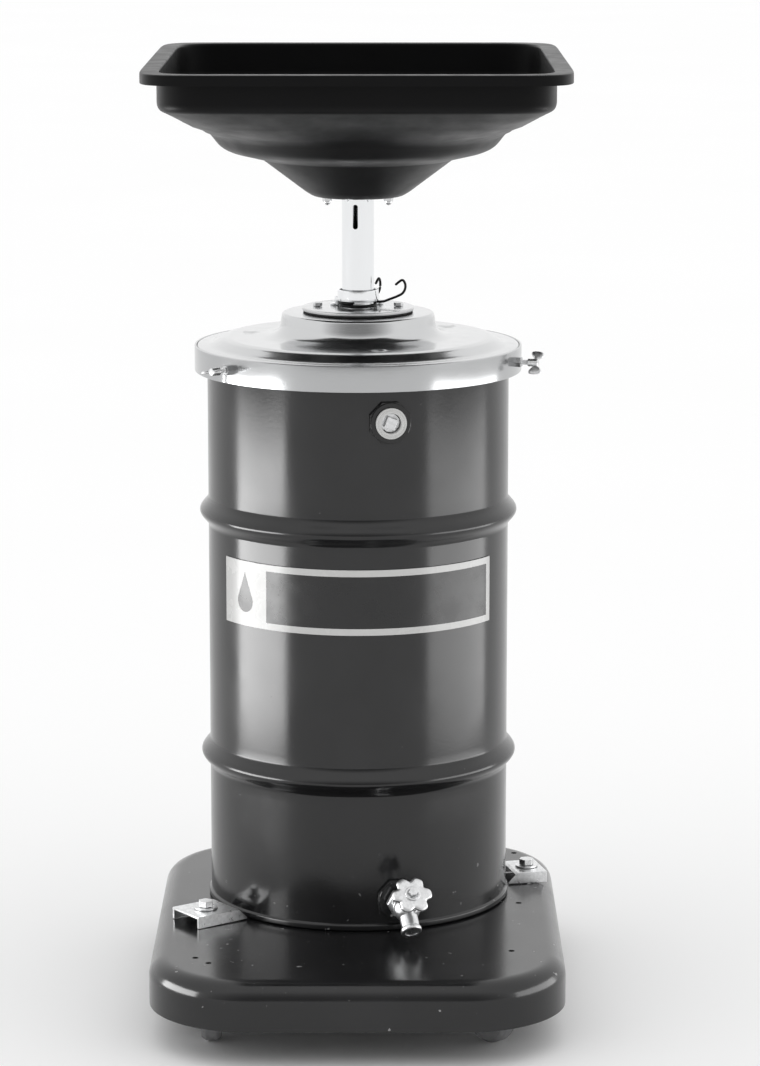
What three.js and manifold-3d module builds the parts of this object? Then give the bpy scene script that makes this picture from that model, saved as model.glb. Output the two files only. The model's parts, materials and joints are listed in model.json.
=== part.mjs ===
// Used-oil drain receiver: a drain bowl on a sliding mast, over a lidded drum that is clipped to a dolly.
// Millimetres, +Z up, the front towards -Y. The origin is on the floor, under the middle of the footprint.
import * as THREE from 'three';
import { mergeVertices } from 'three/addons/utils/BufferGeometryUtils.js';
import Module from 'manifold-3d';

const wasm = await Module();
wasm.setup();

// ---------------------------------------------------------------- sizes
const FIT = 0.4;                    // between pieces that sit on or in each other
const RUN = 0.5;                    // radial, between pieces that turn or slide

const BOWL_WIDTH = 486;             // over the rim flange
const BOWL_DEPTH = 580;
const BOWL_HEIGHT = 161.5;          // flat bottom to rim
const BOWL_WALL = 3;
const FLANGE_WIDTH = 18;
const LIP_DROP = 12;
const BOWL_WALL_DEPTH = 43;         // rim to the foot of the upright wall
const PYRAMID_DROP = 42;            // foot of the upright wall to the round sump
const SUMP_INSET = 49;              // upright wall in to the round sump
const BOWL_BOLTS = 3;
const M6_R = 3;

const MAST_R = 19;
const MAST_WALL = 2.5;
const MAST_LENGTH = 600;
const MAST_SHOWN = 110.6;           // brake collar to bowl, at the height the mast is set to
const HEAD_FLANGE_WIDTH = 30;
const HEAD_FLANGE_T = 4;
const GASKET_T = 2;
const VENT_SLOT = { az: -9, width: 6, length: 29, belowBowl: 9 };

const DRUM_R = 179;
const DRUM_WALL = 1.5;
const DRUM_HEIGHT = 667.6;
const HOOPS = [179, 473.5];         // middle of each rolling hoop above the drum's foot
const HOOP_RISE = 10.5;
const HOOP_HALF = 18;
const RIM_BEAD = 8;                 // how far the drum's rolled rim stands out
const FOOT_BEAD = 2.5;

const BAND_GAP = 7;                 // rolled rim to the outside of the lid's skirt band
const BAND_T = 2.6;
const BAND_HEIGHT = 30;
const LID_T = 1.5;
const PLATEAU_INSET = 21;           // inside the drum's wall
const PLATEAU_RISE = 10;
const DOME_MARGIN = 22;             // outside the mounting plate
const DOME_RISE = 28;               // above the plateau
const PLATE_MARGIN = 47;            // outside the mast
const PLATE_T = 4;
const COLLAR_WALL = 5;
const COLLAR_HEIGHT = 13.4;
const WIRE_R = 1.5;

const WING_SCREWS = [{ az: -49, turn: 8 }, { az: 71, turn: 55 }, { az: 191, turn: 20 }];
const WING_REACH = 35;              // outside the band
const BOSS_AF = 11;
const BOSS_LENGTH = 9;

const SIDE_PORT = { az: 12, belowTop: 63 };
const TAP_PORT = { az: 15, aboveFoot: 37.6 };
const PORT_AF = 48;                 // octagonal welded boss
const PORT_RISE = 6;
const RING_R = 18;

const LABEL = { aboveFoot: 355.6, height: 77, half: 59 };

const WHEEL_R = 32.5;
const WHEEL_WIDTH = 24;
const CASTER_TRAIL = 20;
const SWIVEL_HEIGHT = 33;           // top of the wheel to the top of the deck

const DECK_SIDE = 61;               // deck edges outside the drum's wall
const DECK_AHEAD = 208;
const DECK_BEHIND = 50;
const DECK_SHEET = 3;
const SKIRT_DROP = 55;
const DECK_CORNER_R = 120;
const DECK_EDGE_R = 22;
const CLIPS = [{ az: -54, length: 70.5 }, { az: 104, length: 49.5 }];
const CLIP_WIDTH = 56;
const CLIP_RISE = 14;
const CLIP_TOE = 13;
const CASTER_INSET = [72, 87];      // kingpin from the deck's sides, and from its front and back

// ---------------------------------------------------------------- sizes that follow
const HEAD_FLANGE_R = MAST_R + HEAD_FLANGE_WIDTH;
const BOWL_BOLT_R = HEAD_FLANGE_R - 7.4;
const BOWL_FLAT_R = HEAD_FLANGE_R + 4;
const SUMP_R = BOWL_WIDTH / 2 - FLANGE_WIDTH - SUMP_INSET;
const COLLAR_R = MAST_R + RUN + COLLAR_WALL;
const PLATE_R = MAST_R + PLATE_MARGIN;
const PLATE_BOLT_R = PLATE_R - 18;
const DOME_R = PLATE_R + DOME_MARGIN;
const LID_R = DRUM_R + RIM_BEAD + BAND_GAP;
const PLATEAU_R = DRUM_R - PLATEAU_INSET;
const DECK_WIDTH = 2 * (DRUM_R + DECK_SIDE);
const DECK_FRONT = DRUM_R + DECK_AHEAD;
const DECK_BACK = DRUM_R + DECK_BEHIND;
const CASTER_X = DECK_WIDTH / 2 - CASTER_INSET[0];
const CASTERS = [
  { x: -CASTER_X, y: CASTER_INSET[1] - DECK_FRONT, turn: 180 },
  { x: CASTER_X, y: CASTER_INSET[1] - DECK_FRONT, turn: 225 },
  { x: -CASTER_X, y: DECK_BACK - CASTER_INSET[1], turn: 15 },
  { x: CASTER_X, y: DECK_BACK - CASTER_INSET[1], turn: -20 },
];
const SPARE_HOLES = [
  [54 - DECK_WIDTH / 2, 105 - DECK_FRONT],
  [70 - DECK_WIDTH / 2, 85 - DECK_FRONT],
  [DECK_WIDTH / 2 - 62, 132 - DECK_FRONT],
  [DECK_WIDTH / 2 - 45, DECK_BACK - 67],
  [DECK_WIDTH / 2 - 47, DECK_BACK - 289],
];

// The mast's axis stands behind the middle of the footprint, because the deck runs out in front.
const MAST_Y = (DECK_FRONT - BOWL_DEPTH / 2) / 2;

// Sides given to round shapes.
const LARGE = 40;
const MEDIUM = 24;
const SMALL = 12;

// ---------------------------------------------------------------- heights that follow
const DECK_TOP = 2 * WHEEL_R + SWIVEL_HEIGHT;
const SKIRT_FOOT = DECK_TOP - SKIRT_DROP;
const DRUM_FOOT = DECK_TOP + FIT;
const DRUM_TOP = DRUM_FOOT + DRUM_HEIGHT;
const LID_GASKET_TOP = DRUM_TOP + FIT + GASKET_T - 0.3;
const LID_EDGE_TOP = LID_GASKET_TOP + FIT + LID_T;
const PLATEAU_TOP = LID_EDGE_TOP + PLATEAU_RISE;
const DOME_TOP = PLATEAU_TOP + DOME_RISE;
const PLATE_GASKET_TOP = DOME_TOP + FIT + GASKET_T - 0.5;
const PLATE_TOP = PLATE_GASKET_TOP + FIT + PLATE_T;
const COIL_Z = PLATE_TOP + FIT + WIRE_R;
const TAIL_Z = COIL_Z + 2 * WIRE_R + FIT;
const COLLAR_FOOT = TAIL_Z + WIRE_R + FIT;
const COLLAR_TOP = COLLAR_FOOT + COLLAR_HEIGHT;
const BAND_FOOT = LID_EDGE_TOP - BAND_HEIGHT;
const SCREW_Z = BAND_FOOT + 17;
const BOWL_BOTTOM = COLLAR_TOP + MAST_SHOWN;
const RIM_TOP = BOWL_BOTTOM + BOWL_HEIGHT;
const BOWL_SEAT = BOWL_BOTTOM + BOWL_WALL;
const HEAD_FOOT = BOWL_SEAT + FIT + GASKET_T + FIT;
const HEAD_TOP = HEAD_FOOT + HEAD_FLANGE_T;
const MAST_TOP = HEAD_TOP + 3;
const MAST_FOOT = MAST_TOP - MAST_LENGTH;

// ---------------------------------------------------------------- shape helpers
const rad = THREE.MathUtils.degToRad;

// Welds shared corners, drops empty triangles and turns the faces outwards.
function clean(geometry) {
  const bare = geometry.clone();
  bare.deleteAttribute('normal');
  bare.deleteAttribute('uv');
  const merged = mergeVertices(bare, 1e-3);
  const index = merged.index.array;
  const kept = [];
  for (let i = 0; i < index.length; i += 3) {
    const [a, b, c] = [index[i], index[i + 1], index[i + 2]];
    if (a !== b && b !== c && c !== a) {
      kept.push(a, b, c);
    }
  }
  merged.setIndex(kept);
  if (signedVolume(merged) < 0) {
    for (let i = 0; i < kept.length; i += 3) {
      [kept[i], kept[i + 1]] = [kept[i + 1], kept[i]];
    }
    merged.setIndex(kept);
  }
  return merged;
}

function signedVolume(geometry) {
  const p = geometry.attributes.position;
  const index = geometry.index.array;
  const [a, b, c] = [new THREE.Vector3(), new THREE.Vector3(), new THREE.Vector3()];
  let total = 0;
  for (let i = 0; i < index.length; i += 3) {
    a.fromBufferAttribute(p, index[i]);
    b.fromBufferAttribute(p, index[i + 1]);
    c.fromBufferAttribute(p, index[i + 2]);
    total += a.dot(b.cross(c)) / 6;
  }
  return total;
}

function toSolid(geometry) {
  const g = clean(geometry);
  return new wasm.Manifold(new wasm.Mesh({
    numProp: 3,
    vertProperties: new Float32Array(g.attributes.position.array),
    triVerts: new Uint32Array(g.index.array),
  }));
}

function fromSolid(solid) {
  const mesh = solid.getMesh();
  const g = new THREE.BufferGeometry();
  g.setAttribute('position', new THREE.BufferAttribute(new Float32Array(mesh.vertProperties), 3));
  g.setIndex([...mesh.triVerts]);
  return g;
}

const join = (first, ...rest) => fromSolid(rest.reduce((s, g) => s.add(toSolid(g)), toSolid(first)));
const cut = (first, ...rest) => fromSolid(rest.reduce((s, g) => s.subtract(toSolid(g)), toSolid(first)));

// A round bar along Z; with a second radius it tapers to it.
function rod(r, z0, z1, segments = SMALL, r1 = r) {
  const g = new THREE.CylinderGeometry(r1, r, z1 - z0, segments);
  g.rotateX(Math.PI / 2);
  g.translate(0, 0, (z0 + z1) / 2);
  return g;
}

// A bar with flat sides, given across its flats, one flat facing +Y.
function flats(count, acrossFlats, z0, z1) {
  const g = rod(acrossFlats / 2 / Math.cos(Math.PI / count), z0, z1, count);
  g.rotateZ(Math.PI / count);
  return g;
}

function block(x0, x1, y0, y1, z0, z1) {
  const g = new THREE.BoxGeometry(x1 - x0, y1 - y0, z1 - z0);
  g.translate((x0 + x1) / 2, (y0 + y1) / 2, (z0 + z1) / 2);
  return g;
}

// A profile of [r, z] points turned about Z. It starts and ends on the axis, or it is closed here.
function turned(profile, segments = LARGE) {
  const points = profile.map(([r, z]) => new THREE.Vector2(r, z));
  if (profile[0][0] > 0) {
    points.push(points[0].clone());
  }
  const g = new THREE.LatheGeometry(points, segments);
  g.rotateX(Math.PI / 2);
  return g;
}

const ring = (r0, r1, z0, z1, segments = MEDIUM) => (
  turned([[r0, z0], [r1, z0], [r1, z1], [r0, z1]], segments)
);

// Loops of [x, y, z] points skinned one to the next; ends are capped from their middles, or joined up.
function skinned(loops, closed = false) {
  const count = loops[0].length;
  const points = loops.flat();
  const index = [];
  const last = closed ? loops.length : loops.length - 1;
  for (let i = 0; i < last; i += 1) {
    const a = i * count;
    const b = ((i + 1) % loops.length) * count;
    for (let k = 0; k < count; k += 1) {
      const n = (k + 1) % count;
      index.push(a + k, a + n, b + n, a + k, b + n, b + k);
    }
  }
  if (!closed) {
    const ends = [[loops[0], 0, true], [loops.at(-1), (loops.length - 1) * count, false]];
    for (const [loop, start, flip] of ends) {
      const middle = [0, 1, 2].map((axis) => loop.reduce((s, p) => s + p[axis], 0) / count);
      points.push(middle);
      for (let k = 0; k < count; k += 1) {
        const n = (k + 1) % count;
        index.push(points.length - 1, start + (flip ? n : k), start + (flip ? k : n));
      }
    }
  }
  const g = new THREE.BufferGeometry();
  g.setAttribute('position', new THREE.Float32BufferAttribute(points.flat(), 3));
  g.setIndex(index);
  return g;
}

// A flat outline of [x, y] points given a thickness.
function sheet(outline, z0, z1) {
  const shape = new THREE.Shape(outline.map(([x, y]) => new THREE.Vector2(x, y)));
  const g = new THREE.ExtrudeGeometry(shape, { depth: z1 - z0, bevelEnabled: false });
  g.translate(0, 0, z0);
  return g;
}

// A rounded rectangle as a squared ellipse; power 2 is a plain ellipse.
function squaredLoop(halfX, halfY, z, power, count) {
  const loop = [];
  for (let k = 0; k < count; k += 1) {
    const t = (2 * Math.PI * k) / count;
    const [c, s] = [Math.cos(t), Math.sin(t)];
    loop.push([
      halfX * Math.sign(c) * Math.abs(c) ** (2 / power),
      halfY * Math.sign(s) * Math.abs(s) ** (2 / power),
      z,
    ]);
  }
  return loop;
}

// A rectangle with round corners, from [x0, y0] to [x1, y1].
function roundedLoop(x0, y0, x1, y1, radius, z, perCorner = 6) {
  const centres = [[x1 - radius, y1 - radius], [x0 + radius, y1 - radius], [x0 + radius, y0 + radius],
    [x1 - radius, y0 + radius]];
  const loop = [];
  centres.forEach(([cx, cy], corner) => {
    for (let k = 0; k < perCorner; k += 1) {
      const t = (corner + k / (perCorner - 1)) * (Math.PI / 2);
      loop.push([cx + radius * Math.cos(t), cy + radius * Math.sin(t), z]);
    }
  });
  return loop;
}

// A round wire through a list of points.
function wire(points, radius, segments = 6) {
  const path = points.map((p) => new THREE.Vector3(...p));
  let side = new THREE.Vector3(0, 0, 1);
  const loops = path.map((p, i) => {
    const ahead = (path[i + 1] ?? p).clone().sub(path[i - 1] ?? p).normalize();
    const u = side.clone().addScaledVector(ahead, -side.dot(ahead)).normalize();
    const v = ahead.clone().cross(u);
    side = u;
    const loop = [];
    for (let k = 0; k < segments; k += 1) {
      const t = (2 * Math.PI * k) / segments;
      const q = p.clone().addScaledVector(u, radius * Math.cos(t)).addScaledVector(v, radius * Math.sin(t));
      loop.push([q.x, q.y, q.z]);
    }
    return loop;
  });
  return skinned(loops);
}

// Azimuth counts from the front (-Y) towards +X.
const outwards = (az) => [Math.sin(rad(az)), -Math.cos(rad(az))];

// Puts a shape drawn about local Z on a radial axis: local Z points outwards and local Y points up.
function radial(geometry, az, z, lift = 0) {
  const [x, y] = outwards(az);
  const out = new THREE.Vector3(x * Math.cos(rad(lift)), y * Math.cos(rad(lift)), Math.sin(rad(lift)));
  const across = new THREE.Vector3(-y, x, 0);
  const up = out.clone().cross(across);
  const m = new THREE.Matrix4().makeBasis(across, up, out).setPosition(0, 0, z);
  return geometry.clone().applyMatrix4(m);
}

const moved = (geometry, x, y, z) => geometry.clone().translate(x, y, z);
const spun = (geometry, degrees) => geometry.clone().rotateZ(rad(degrees));
const onCircle = (geometry, r, az) => moved(geometry, r * outwards(az)[0], r * outwards(az)[1], 0);

// ---------------------------------------------------------------- the pieces
const group = new THREE.Group();

const FINISHES = {
  blackPlastic: [0x141416, 0.1, 0.45],
  rubber: [0x1c1c1c, 0, 0.85],
  chrome: [0xe2e4e6, 1, 0.12],
  plated: [0xcfd2d4, 1, 0.28],
  zinc: [0xb9bcbe, 0.9, 0.38],
  darkPaint: [0x2b2d30, 0.2, 0.22],
  blackPaint: [0x121213, 0.2, 0.3],
  springSteel: [0x1a1a1c, 0.6, 0.45],
  white: [0xf2f2f0, 0, 0.5],
  grey: [0x6e7072, 0, 0.6],
};

function piece(name, geometry, finish) {
  const [color, metalness, roughness] = FINISHES[finish];
  const mesh = new THREE.Mesh(
    clean(moved(geometry, 0, MAST_Y, 0)),
    new THREE.MeshStandardMaterial({ color, metalness, roughness }),
  );
  mesh.geometry.computeVertexNormals();
  mesh.name = name;
  group.add(mesh);
}

// ---- drain bowl: half width, half depth, height and squareness of each section
const SQUARE = 12;
const BOWL_HOLE_R = MAST_R + RUN;
const CONE = {
  top: [SUMP_R - 62.5, RIM_TOP - BOWL_WALL_DEPTH - PYRAMID_DROP - 32.5],
  foot: [BOWL_FLAT_R + 8, BOWL_BOTTOM + 4.5],
};
const bowlSections = [
  ...skin(0, 0),
  ...skin(BOWL_WALL, BOWL_WALL).reverse(),
];

function skin(t, up) {
  const [w, d] = [BOWL_WIDTH / 2, BOWL_DEPTH / 2];
  const [ww, wd] = [w - FLANGE_WIDTH - t, d - FLANGE_WIDTH - t];
  const wallFoot = RIM_TOP - BOWL_WALL_DEPTH;
  const lip = [
    [w - 2, d - 2, RIM_TOP, SQUARE],
    [w, d, RIM_TOP - 2, SQUARE],
    [w, d, RIM_TOP - LIP_DROP, SQUARE],
    [w - BOWL_WALL, d - BOWL_WALL, RIM_TOP - LIP_DROP, SQUARE],
    [w - BOWL_WALL, d - BOWL_WALL, RIM_TOP - BOWL_WALL, SQUARE],
    [ww, wd, RIM_TOP - BOWL_WALL, SQUARE],
  ];
  const mouth = [
    [ww + 3, wd + 3, RIM_TOP, SQUARE],
    [ww, wd, RIM_TOP - 3, SQUARE],
  ];
  const sumpTop = wallFoot - PYRAMID_DROP;
  const round = [
    [SUMP_R, sumpTop],
    [SUMP_R - 14, sumpTop - 18],
    [SUMP_R - 25, sumpTop - 23.5],
    [SUMP_R - 46, sumpTop - 28.5],
    CONE.top,
    CONE.foot,
    [BOWL_FLAT_R, BOWL_BOTTOM],
  ];
  return [
    ...(t > 0 ? mouth : lip),
    [ww, wd, wallFoot + 3 + up, SQUARE],
    [ww - 4, wd - 4, wallFoot - 2 + up, SQUARE],
    [ww - 27, wd - 50, wallFoot - PYRAMID_DROP / 2 + up, 7],
    ...round.map(([r, z]) => [r - t * 0.6, r - t * 0.6, z + up, 2]),
    [BOWL_HOLE_R, BOWL_HOLE_R, BOWL_BOTTOM + up, 2],
  ];
}

const boltAzimuths = [...Array(BOWL_BOLTS)].map((_, i) => 60 + (360 / BOWL_BOLTS) * i);
const boltHoles = (z0, z1) => boltAzimuths.map((az) => onCircle(rod(M6_R + FIT, z0, z1, 8), BOWL_BOLT_R, az));

piece('drain_bowl', cut(
  skinned(bowlSections.map(([hx, hy, z, power]) => squaredLoop(hx, hy, z, power, LARGE)), true),
  ...boltHoles(BOWL_BOTTOM - 5, BOWL_SEAT + 5),
), 'blackPlastic');

piece('bowl_gasket', cut(
  ring(BOWL_HOLE_R, HEAD_FLANGE_R, BOWL_SEAT + FIT, BOWL_SEAT + FIT + GASKET_T),
  ...boltHoles(BOWL_SEAT, HEAD_FOOT),
), 'rubber');

piece('mast_head_flange', cut(
  ring(MAST_R + FIT, HEAD_FLANGE_R, HEAD_FOOT, HEAD_TOP),
  ...boltHoles(HEAD_FOOT - 5, HEAD_TOP + 5),
), 'chrome');

boltAzimuths.forEach((az, i) => {
  const nutTop = BOWL_BOTTOM - FIT;
  const bolt = join(
    flats(6, 10, HEAD_TOP + FIT, HEAD_TOP + FIT + 4),
    rod(M6_R, nutTop - 5, HEAD_TOP + 1, 8),
  );
  const dome = turned([
    [0, nutTop - 9], [2.6, nutTop - 8], [4.2, nutTop - 5.6], [4.6, nutTop - 3], [0, nutTop - 3],
  ], SMALL);
  const nut = cut(
    join(flats(6, 10, nutTop - 4, nutTop), dome),
    rod(M6_R + FIT, nutTop - 6, nutTop + 1, 8),
  );
  piece(`bowl_bolt_${i + 1}`, onCircle(bolt, BOWL_BOLT_R, az), 'zinc');
  piece(`cap_nut_${i + 1}`, onCircle(nut, BOWL_BOLT_R, az), 'zinc');
});

// Perforated disc that catches a dropped drain plug, resting on the cone above the bolts.
const SCREEN = { t: 1.2, holeR: 6, z: HEAD_TOP + 11 };
const coneRise = (SCREEN.z - BOWL_WALL - CONE.foot[1]) / (CONE.top[1] - CONE.foot[1]);
SCREEN.r = CONE.foot[0] + (CONE.top[0] - CONE.foot[0]) * coneRise - BOWL_WALL * 0.6 - FIT * 2;
const screenHoles = [[1, 0], [6, 26], [10, 53]].flatMap(([count, r]) => (
  [...Array(count)].map((_, i) => onCircle(rod(SCREEN.holeR, -5, 5, 6), r, (360 / count) * i))
));
piece('drain_screen', moved(cut(
  turned([
    [0, 0], [SCREEN.r - 3, 0], [SCREEN.r, 3], [SCREEN.r - 1, 3.8], [SCREEN.r - 3.6, SCREEN.t],
    [0, SCREEN.t],
  ], MEDIUM),
  ...screenHoles,
), 0, 0, SCREEN.z), 'zinc');

// ---- mast
const slotTop = BOWL_BOTTOM - VENT_SLOT.belowBowl;
const slotHalf = VENT_SLOT.width / 2;
const slot = block(-slotHalf, slotHalf, -MAST_R - 5, -MAST_R + 8, slotTop - VENT_SLOT.length, slotTop);
piece('mast_tube', cut(
  ring(MAST_R - MAST_WALL, MAST_R, MAST_FOOT, MAST_TOP),
  spun(slot, VENT_SLOT.az),
), 'chrome');
piece('mast_stop_ring', ring(MAST_R + FIT, MAST_R + 5, MAST_FOOT + 2, MAST_FOOT + 12), 'zinc');

// ---- brake on the lid
const collarLegs = [-112, 124].map((az) => spun(join(
  block(-4, 4, -COLLAR_R - 2.6, -COLLAR_R + 0.6, PLATE_TOP + FIT, COLLAR_FOOT + 4),
  moved(rod(5.5, PLATE_TOP + FIT, PLATE_TOP + FIT + 2), 0, -COLLAR_R - 5.4, 0),
), az));
piece('mast_collar', join(
  turned([
    [MAST_R + RUN, COLLAR_FOOT], [COLLAR_R, COLLAR_FOOT], [COLLAR_R, COLLAR_TOP - 1],
    [COLLAR_R - 1, COLLAR_TOP], [MAST_R + 3, COLLAR_TOP], [MAST_R + 3, COLLAR_TOP - 4],
    [MAST_R + RUN, COLLAR_TOP - 4],
  ], MEDIUM),
  ...collarLegs,
), 'chrome');
piece('mast_wiper', ring(MAST_R + FIT, MAST_R + 3 - FIT, COLLAR_TOP - 4 + FIT, COLLAR_TOP - 0.6), 'rubber');

// One hooked end of the brake wire: out from the coil, up and back in at the tip.
function hookedEnd(az, z) {
  const [x, y] = outwards(az);
  return [[10, 0], [19, 3], [28, 6.5], [34, 10], [37, 16], [36.5, 22], [33, 25.5], [26, 20.5]]
    .map(([r, up]) => [(MAST_R + r) * x, (MAST_R + r) * y, z + up]);
}
function coil(fromAz, toAz, z) {
  const steps = 16;
  return [...Array(steps + 1)].map((_, i) => {
    const [x, y] = outwards(fromAz + ((toAz - fromAz) * i) / steps);
    return [(MAST_R + RUN + WIRE_R) * x, (MAST_R + RUN + WIRE_R) * y, z];
  });
}
const FIXED_END = 152;
const FREE_END = 92;
piece('brake_coil', wire([
  ...coil(FIXED_END - 330, FIXED_END - 8, COIL_Z),
  ...hookedEnd(FIXED_END, COIL_Z),
], WIRE_R), 'springSteel');
piece('brake_free_end', wire([
  ...coil(FREE_END + 250, FREE_END + 8, TAIL_Z),
  ...hookedEnd(FREE_END, TAIL_Z),
], WIRE_R), 'springSteel');

const plateBolts = [-90, 90];
const plateHoles = (z0, z1) => plateBolts.map((az) => (
  onCircle(rod(M6_R + FIT, z0, z1, 8), PLATE_BOLT_R, az)
));
piece('mounting_plate', cut(
  turned([[MAST_R + RUN, PLATE_TOP - PLATE_T], [PLATE_R, PLATE_TOP - PLATE_T], [PLATE_R, PLATE_TOP - 1],
    [PLATE_R - 1, PLATE_TOP], [MAST_R + RUN, PLATE_TOP]], 32),
  ...plateHoles(PLATE_TOP - PLATE_T - 2, PLATE_TOP + 2),
), 'plated');
piece('plate_gasket', cut(
  ring(MAST_R + 6, PLATE_R - 1, DOME_TOP + FIT, PLATE_GASKET_TOP, 32),
  ...plateHoles(DOME_TOP - 1, PLATE_GASKET_TOP + 1),
), 'rubber');
plateBolts.forEach((az, i) => {
  const bolt = join(
    flats(6, 10, PLATE_TOP + FIT, PLATE_TOP + FIT + 4),
    rod(M6_R, DOME_TOP - 9, PLATE_TOP + 1, 8),
  );
  piece(`plate_bolt_${i + 1}`, onCircle(bolt, PLATE_BOLT_R, az), 'zinc');
});

// ---- lid
const BUSH_R = MAST_R + 5.5;
const BUSH_LENGTH = 52;
const BUSH_TOP = PLATE_TOP - PLATE_T - FIT;
piece('guide_bush', ring(MAST_R + RUN, BUSH_R, BUSH_TOP - BUSH_LENGTH, BUSH_TOP), 'zinc');

const LID_EDGE_R = LID_R - BAND_T - FIT;
const lidTopSkin = [
  [LID_EDGE_R, LID_EDGE_TOP - 7], [LID_EDGE_R, LID_EDGE_TOP - 2], [LID_EDGE_R - 2, LID_EDGE_TOP],
  [LID_EDGE_R - 16, LID_EDGE_TOP + 1], [PLATEAU_R + 4, PLATEAU_TOP - 1.5], [PLATEAU_R - 2, PLATEAU_TOP],
  [DOME_R + 24, PLATEAU_TOP], [DOME_R + 11, PLATEAU_TOP + 3], [DOME_R + 4.5, PLATEAU_TOP + 10],
  [DOME_R + 3, DOME_TOP - 4], [DOME_R - 3, DOME_TOP], [BUSH_R + RUN, DOME_TOP],
];
const lidUnderSkin = [
  [BUSH_R + RUN, DOME_TOP - LID_T], [DOME_R - 3.5, DOME_TOP - LID_T], [DOME_R + 1.5, DOME_TOP - 5],
  [DOME_R + 3, PLATEAU_TOP + 9.5], [DOME_R + 10, PLATEAU_TOP + 1.7], [DOME_R + 23.7, PLATEAU_TOP - LID_T],
  [PLATEAU_R - 2, PLATEAU_TOP - LID_T],
  [LID_EDGE_R - 16, LID_EDGE_TOP - LID_T],
  [LID_EDGE_R - LID_T, LID_EDGE_TOP - LID_T], [LID_EDGE_R - LID_T, LID_EDGE_TOP - 7],
];
const embossments = [-102, 11, 126].map((az) => onCircle(
  rod(8, PLATEAU_TOP - 0.5, PLATEAU_TOP + 1.2, SMALL, 7), PLATEAU_R - 26, az,
));
piece('lid', cut(
  join(turned([...lidTopSkin, ...lidUnderSkin]), ...embossments),
  ...plateHoles(DOME_TOP - 5, DOME_TOP + 5),
), 'plated');
piece('lid_gasket', ring(DRUM_R - 2, DRUM_R + RIM_BEAD + 1, DRUM_TOP + FIT, LID_GASKET_TOP, LARGE), 'rubber');

const BAND_R0 = LID_R - BAND_T;
const screwHoles = WING_SCREWS.map(({ az }) => (
  radial(rod(M6_R + FIT, BAND_R0 - 5, LID_R + 20, 8), az, SCREW_Z)
));
piece('lid_band', cut(
  join(
    ring(BAND_R0, LID_R, BAND_FOOT, LID_EDGE_TOP, LARGE),
    ...WING_SCREWS.map(({ az }) => (
      radial(flats(6, BOSS_AF, LID_R - 1.2, LID_R + BOSS_LENGTH), az, SCREW_Z)
    )),
  ),
  ...screwHoles,
), 'plated');

const wingOutline = [
  [2.4, 0], [5, -1.5], [10.5, -5.5], [14, -5], [15, 0], [14, 7], [11, 9.5], [7, 8], [4.4, 4], [0, 3.2],
];
const wingLoop = [...wingOutline, ...wingOutline.slice(0, -1).reverse().map(([x, y]) => [-x, y]), [0, -1]];
WING_SCREWS.forEach(({ az, turn }, i) => {
  const tip = DRUM_R + RIM_BEAD + 0.9;
  const end = LID_R + WING_REACH;
  const wings = sheet(wingLoop, -1.4, 1.4);
  wings.rotateX(Math.PI / 2);
  wings.translate(0, 0, end - 10);
  const screw = join(rod(M6_R, tip, end - 9, 8), rod(4.8, end - 17, end - 6, 8, 3.8), wings);
  piece(`wing_screw_${i + 1}`, radial(spun(screw, turn), az, SCREW_Z), 'plated');
});

// ---- drum
const bead = RIM_BEAD;
const hoop = (z, t, shape) => shape.map(([dz, rise]) => (
  [DRUM_R - t + HOOP_RISE * rise, DRUM_FOOT + z + dz]
));
const HOOP_OUT = [
  [-HOOP_HALF, 0], [-13, 0.17], [-6.5, 0.72], [-2, 0.97], [2, 0.97], [6.5, 0.72], [13, 0.17],
  [HOOP_HALF, 0],
];
const HOOP_IN = [[-HOOP_HALF + 2, 0], [-7, 0.68], [0, 0.97], [7, 0.68], [HOOP_HALF - 2, 0]];
const shellOutside = [
  [DRUM_R, DRUM_FOOT], [DRUM_R + FOOT_BEAD, DRUM_FOOT + 1.5], [DRUM_R + FOOT_BEAD, DRUM_FOOT + 7],
  [DRUM_R, DRUM_FOOT + 9],
  ...HOOPS.flatMap((z) => hoop(z, 0, HOOP_OUT)),
  [DRUM_R, DRUM_TOP - bead * 2], [DRUM_R + bead * 0.7, DRUM_TOP - bead * 1.7],
  [DRUM_R + bead, DRUM_TOP - bead],
  [DRUM_R + bead * 0.7, DRUM_TOP - 2], [DRUM_R + 2, DRUM_TOP],
];
const shellInside = [
  [DRUM_R - DRUM_WALL, DRUM_TOP - 2],
  ...HOOPS.flatMap((z) => hoop(z, DRUM_WALL, HOOP_IN)).reverse(),
  [DRUM_R - DRUM_WALL, DRUM_FOOT],
];
const sidePort = { az: SIDE_PORT.az, z: DRUM_TOP - SIDE_PORT.belowTop };
const tapPort = { az: TAP_PORT.az, z: DRUM_FOOT + TAP_PORT.aboveFoot };
const portHole = ({ az, z }, r) => radial(rod(r, DRUM_R - 30, DRUM_R + 30, 16), az, z);
piece('drum_shell', cut(
  turned([...shellOutside, ...shellInside]),
  portHole(sidePort, 16),
  portHole(tapPort, 13),
), 'darkPaint');

const HEAD_Z = DRUM_FOOT + 10;
const headR = DRUM_R - DRUM_WALL - FIT;
piece('drum_bottom', turned([
  [0, HEAD_Z - 2], [headR - 12, HEAD_Z - 2], [headR - 3, HEAD_Z - 9], [headR, HEAD_Z - 9],
  [headR, HEAD_Z - 6], [headR - 3, HEAD_Z - 6], [headR - 11.4, HEAD_Z - 0.5], [0, HEAD_Z - 0.5],
]), 'darkPaint');

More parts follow.
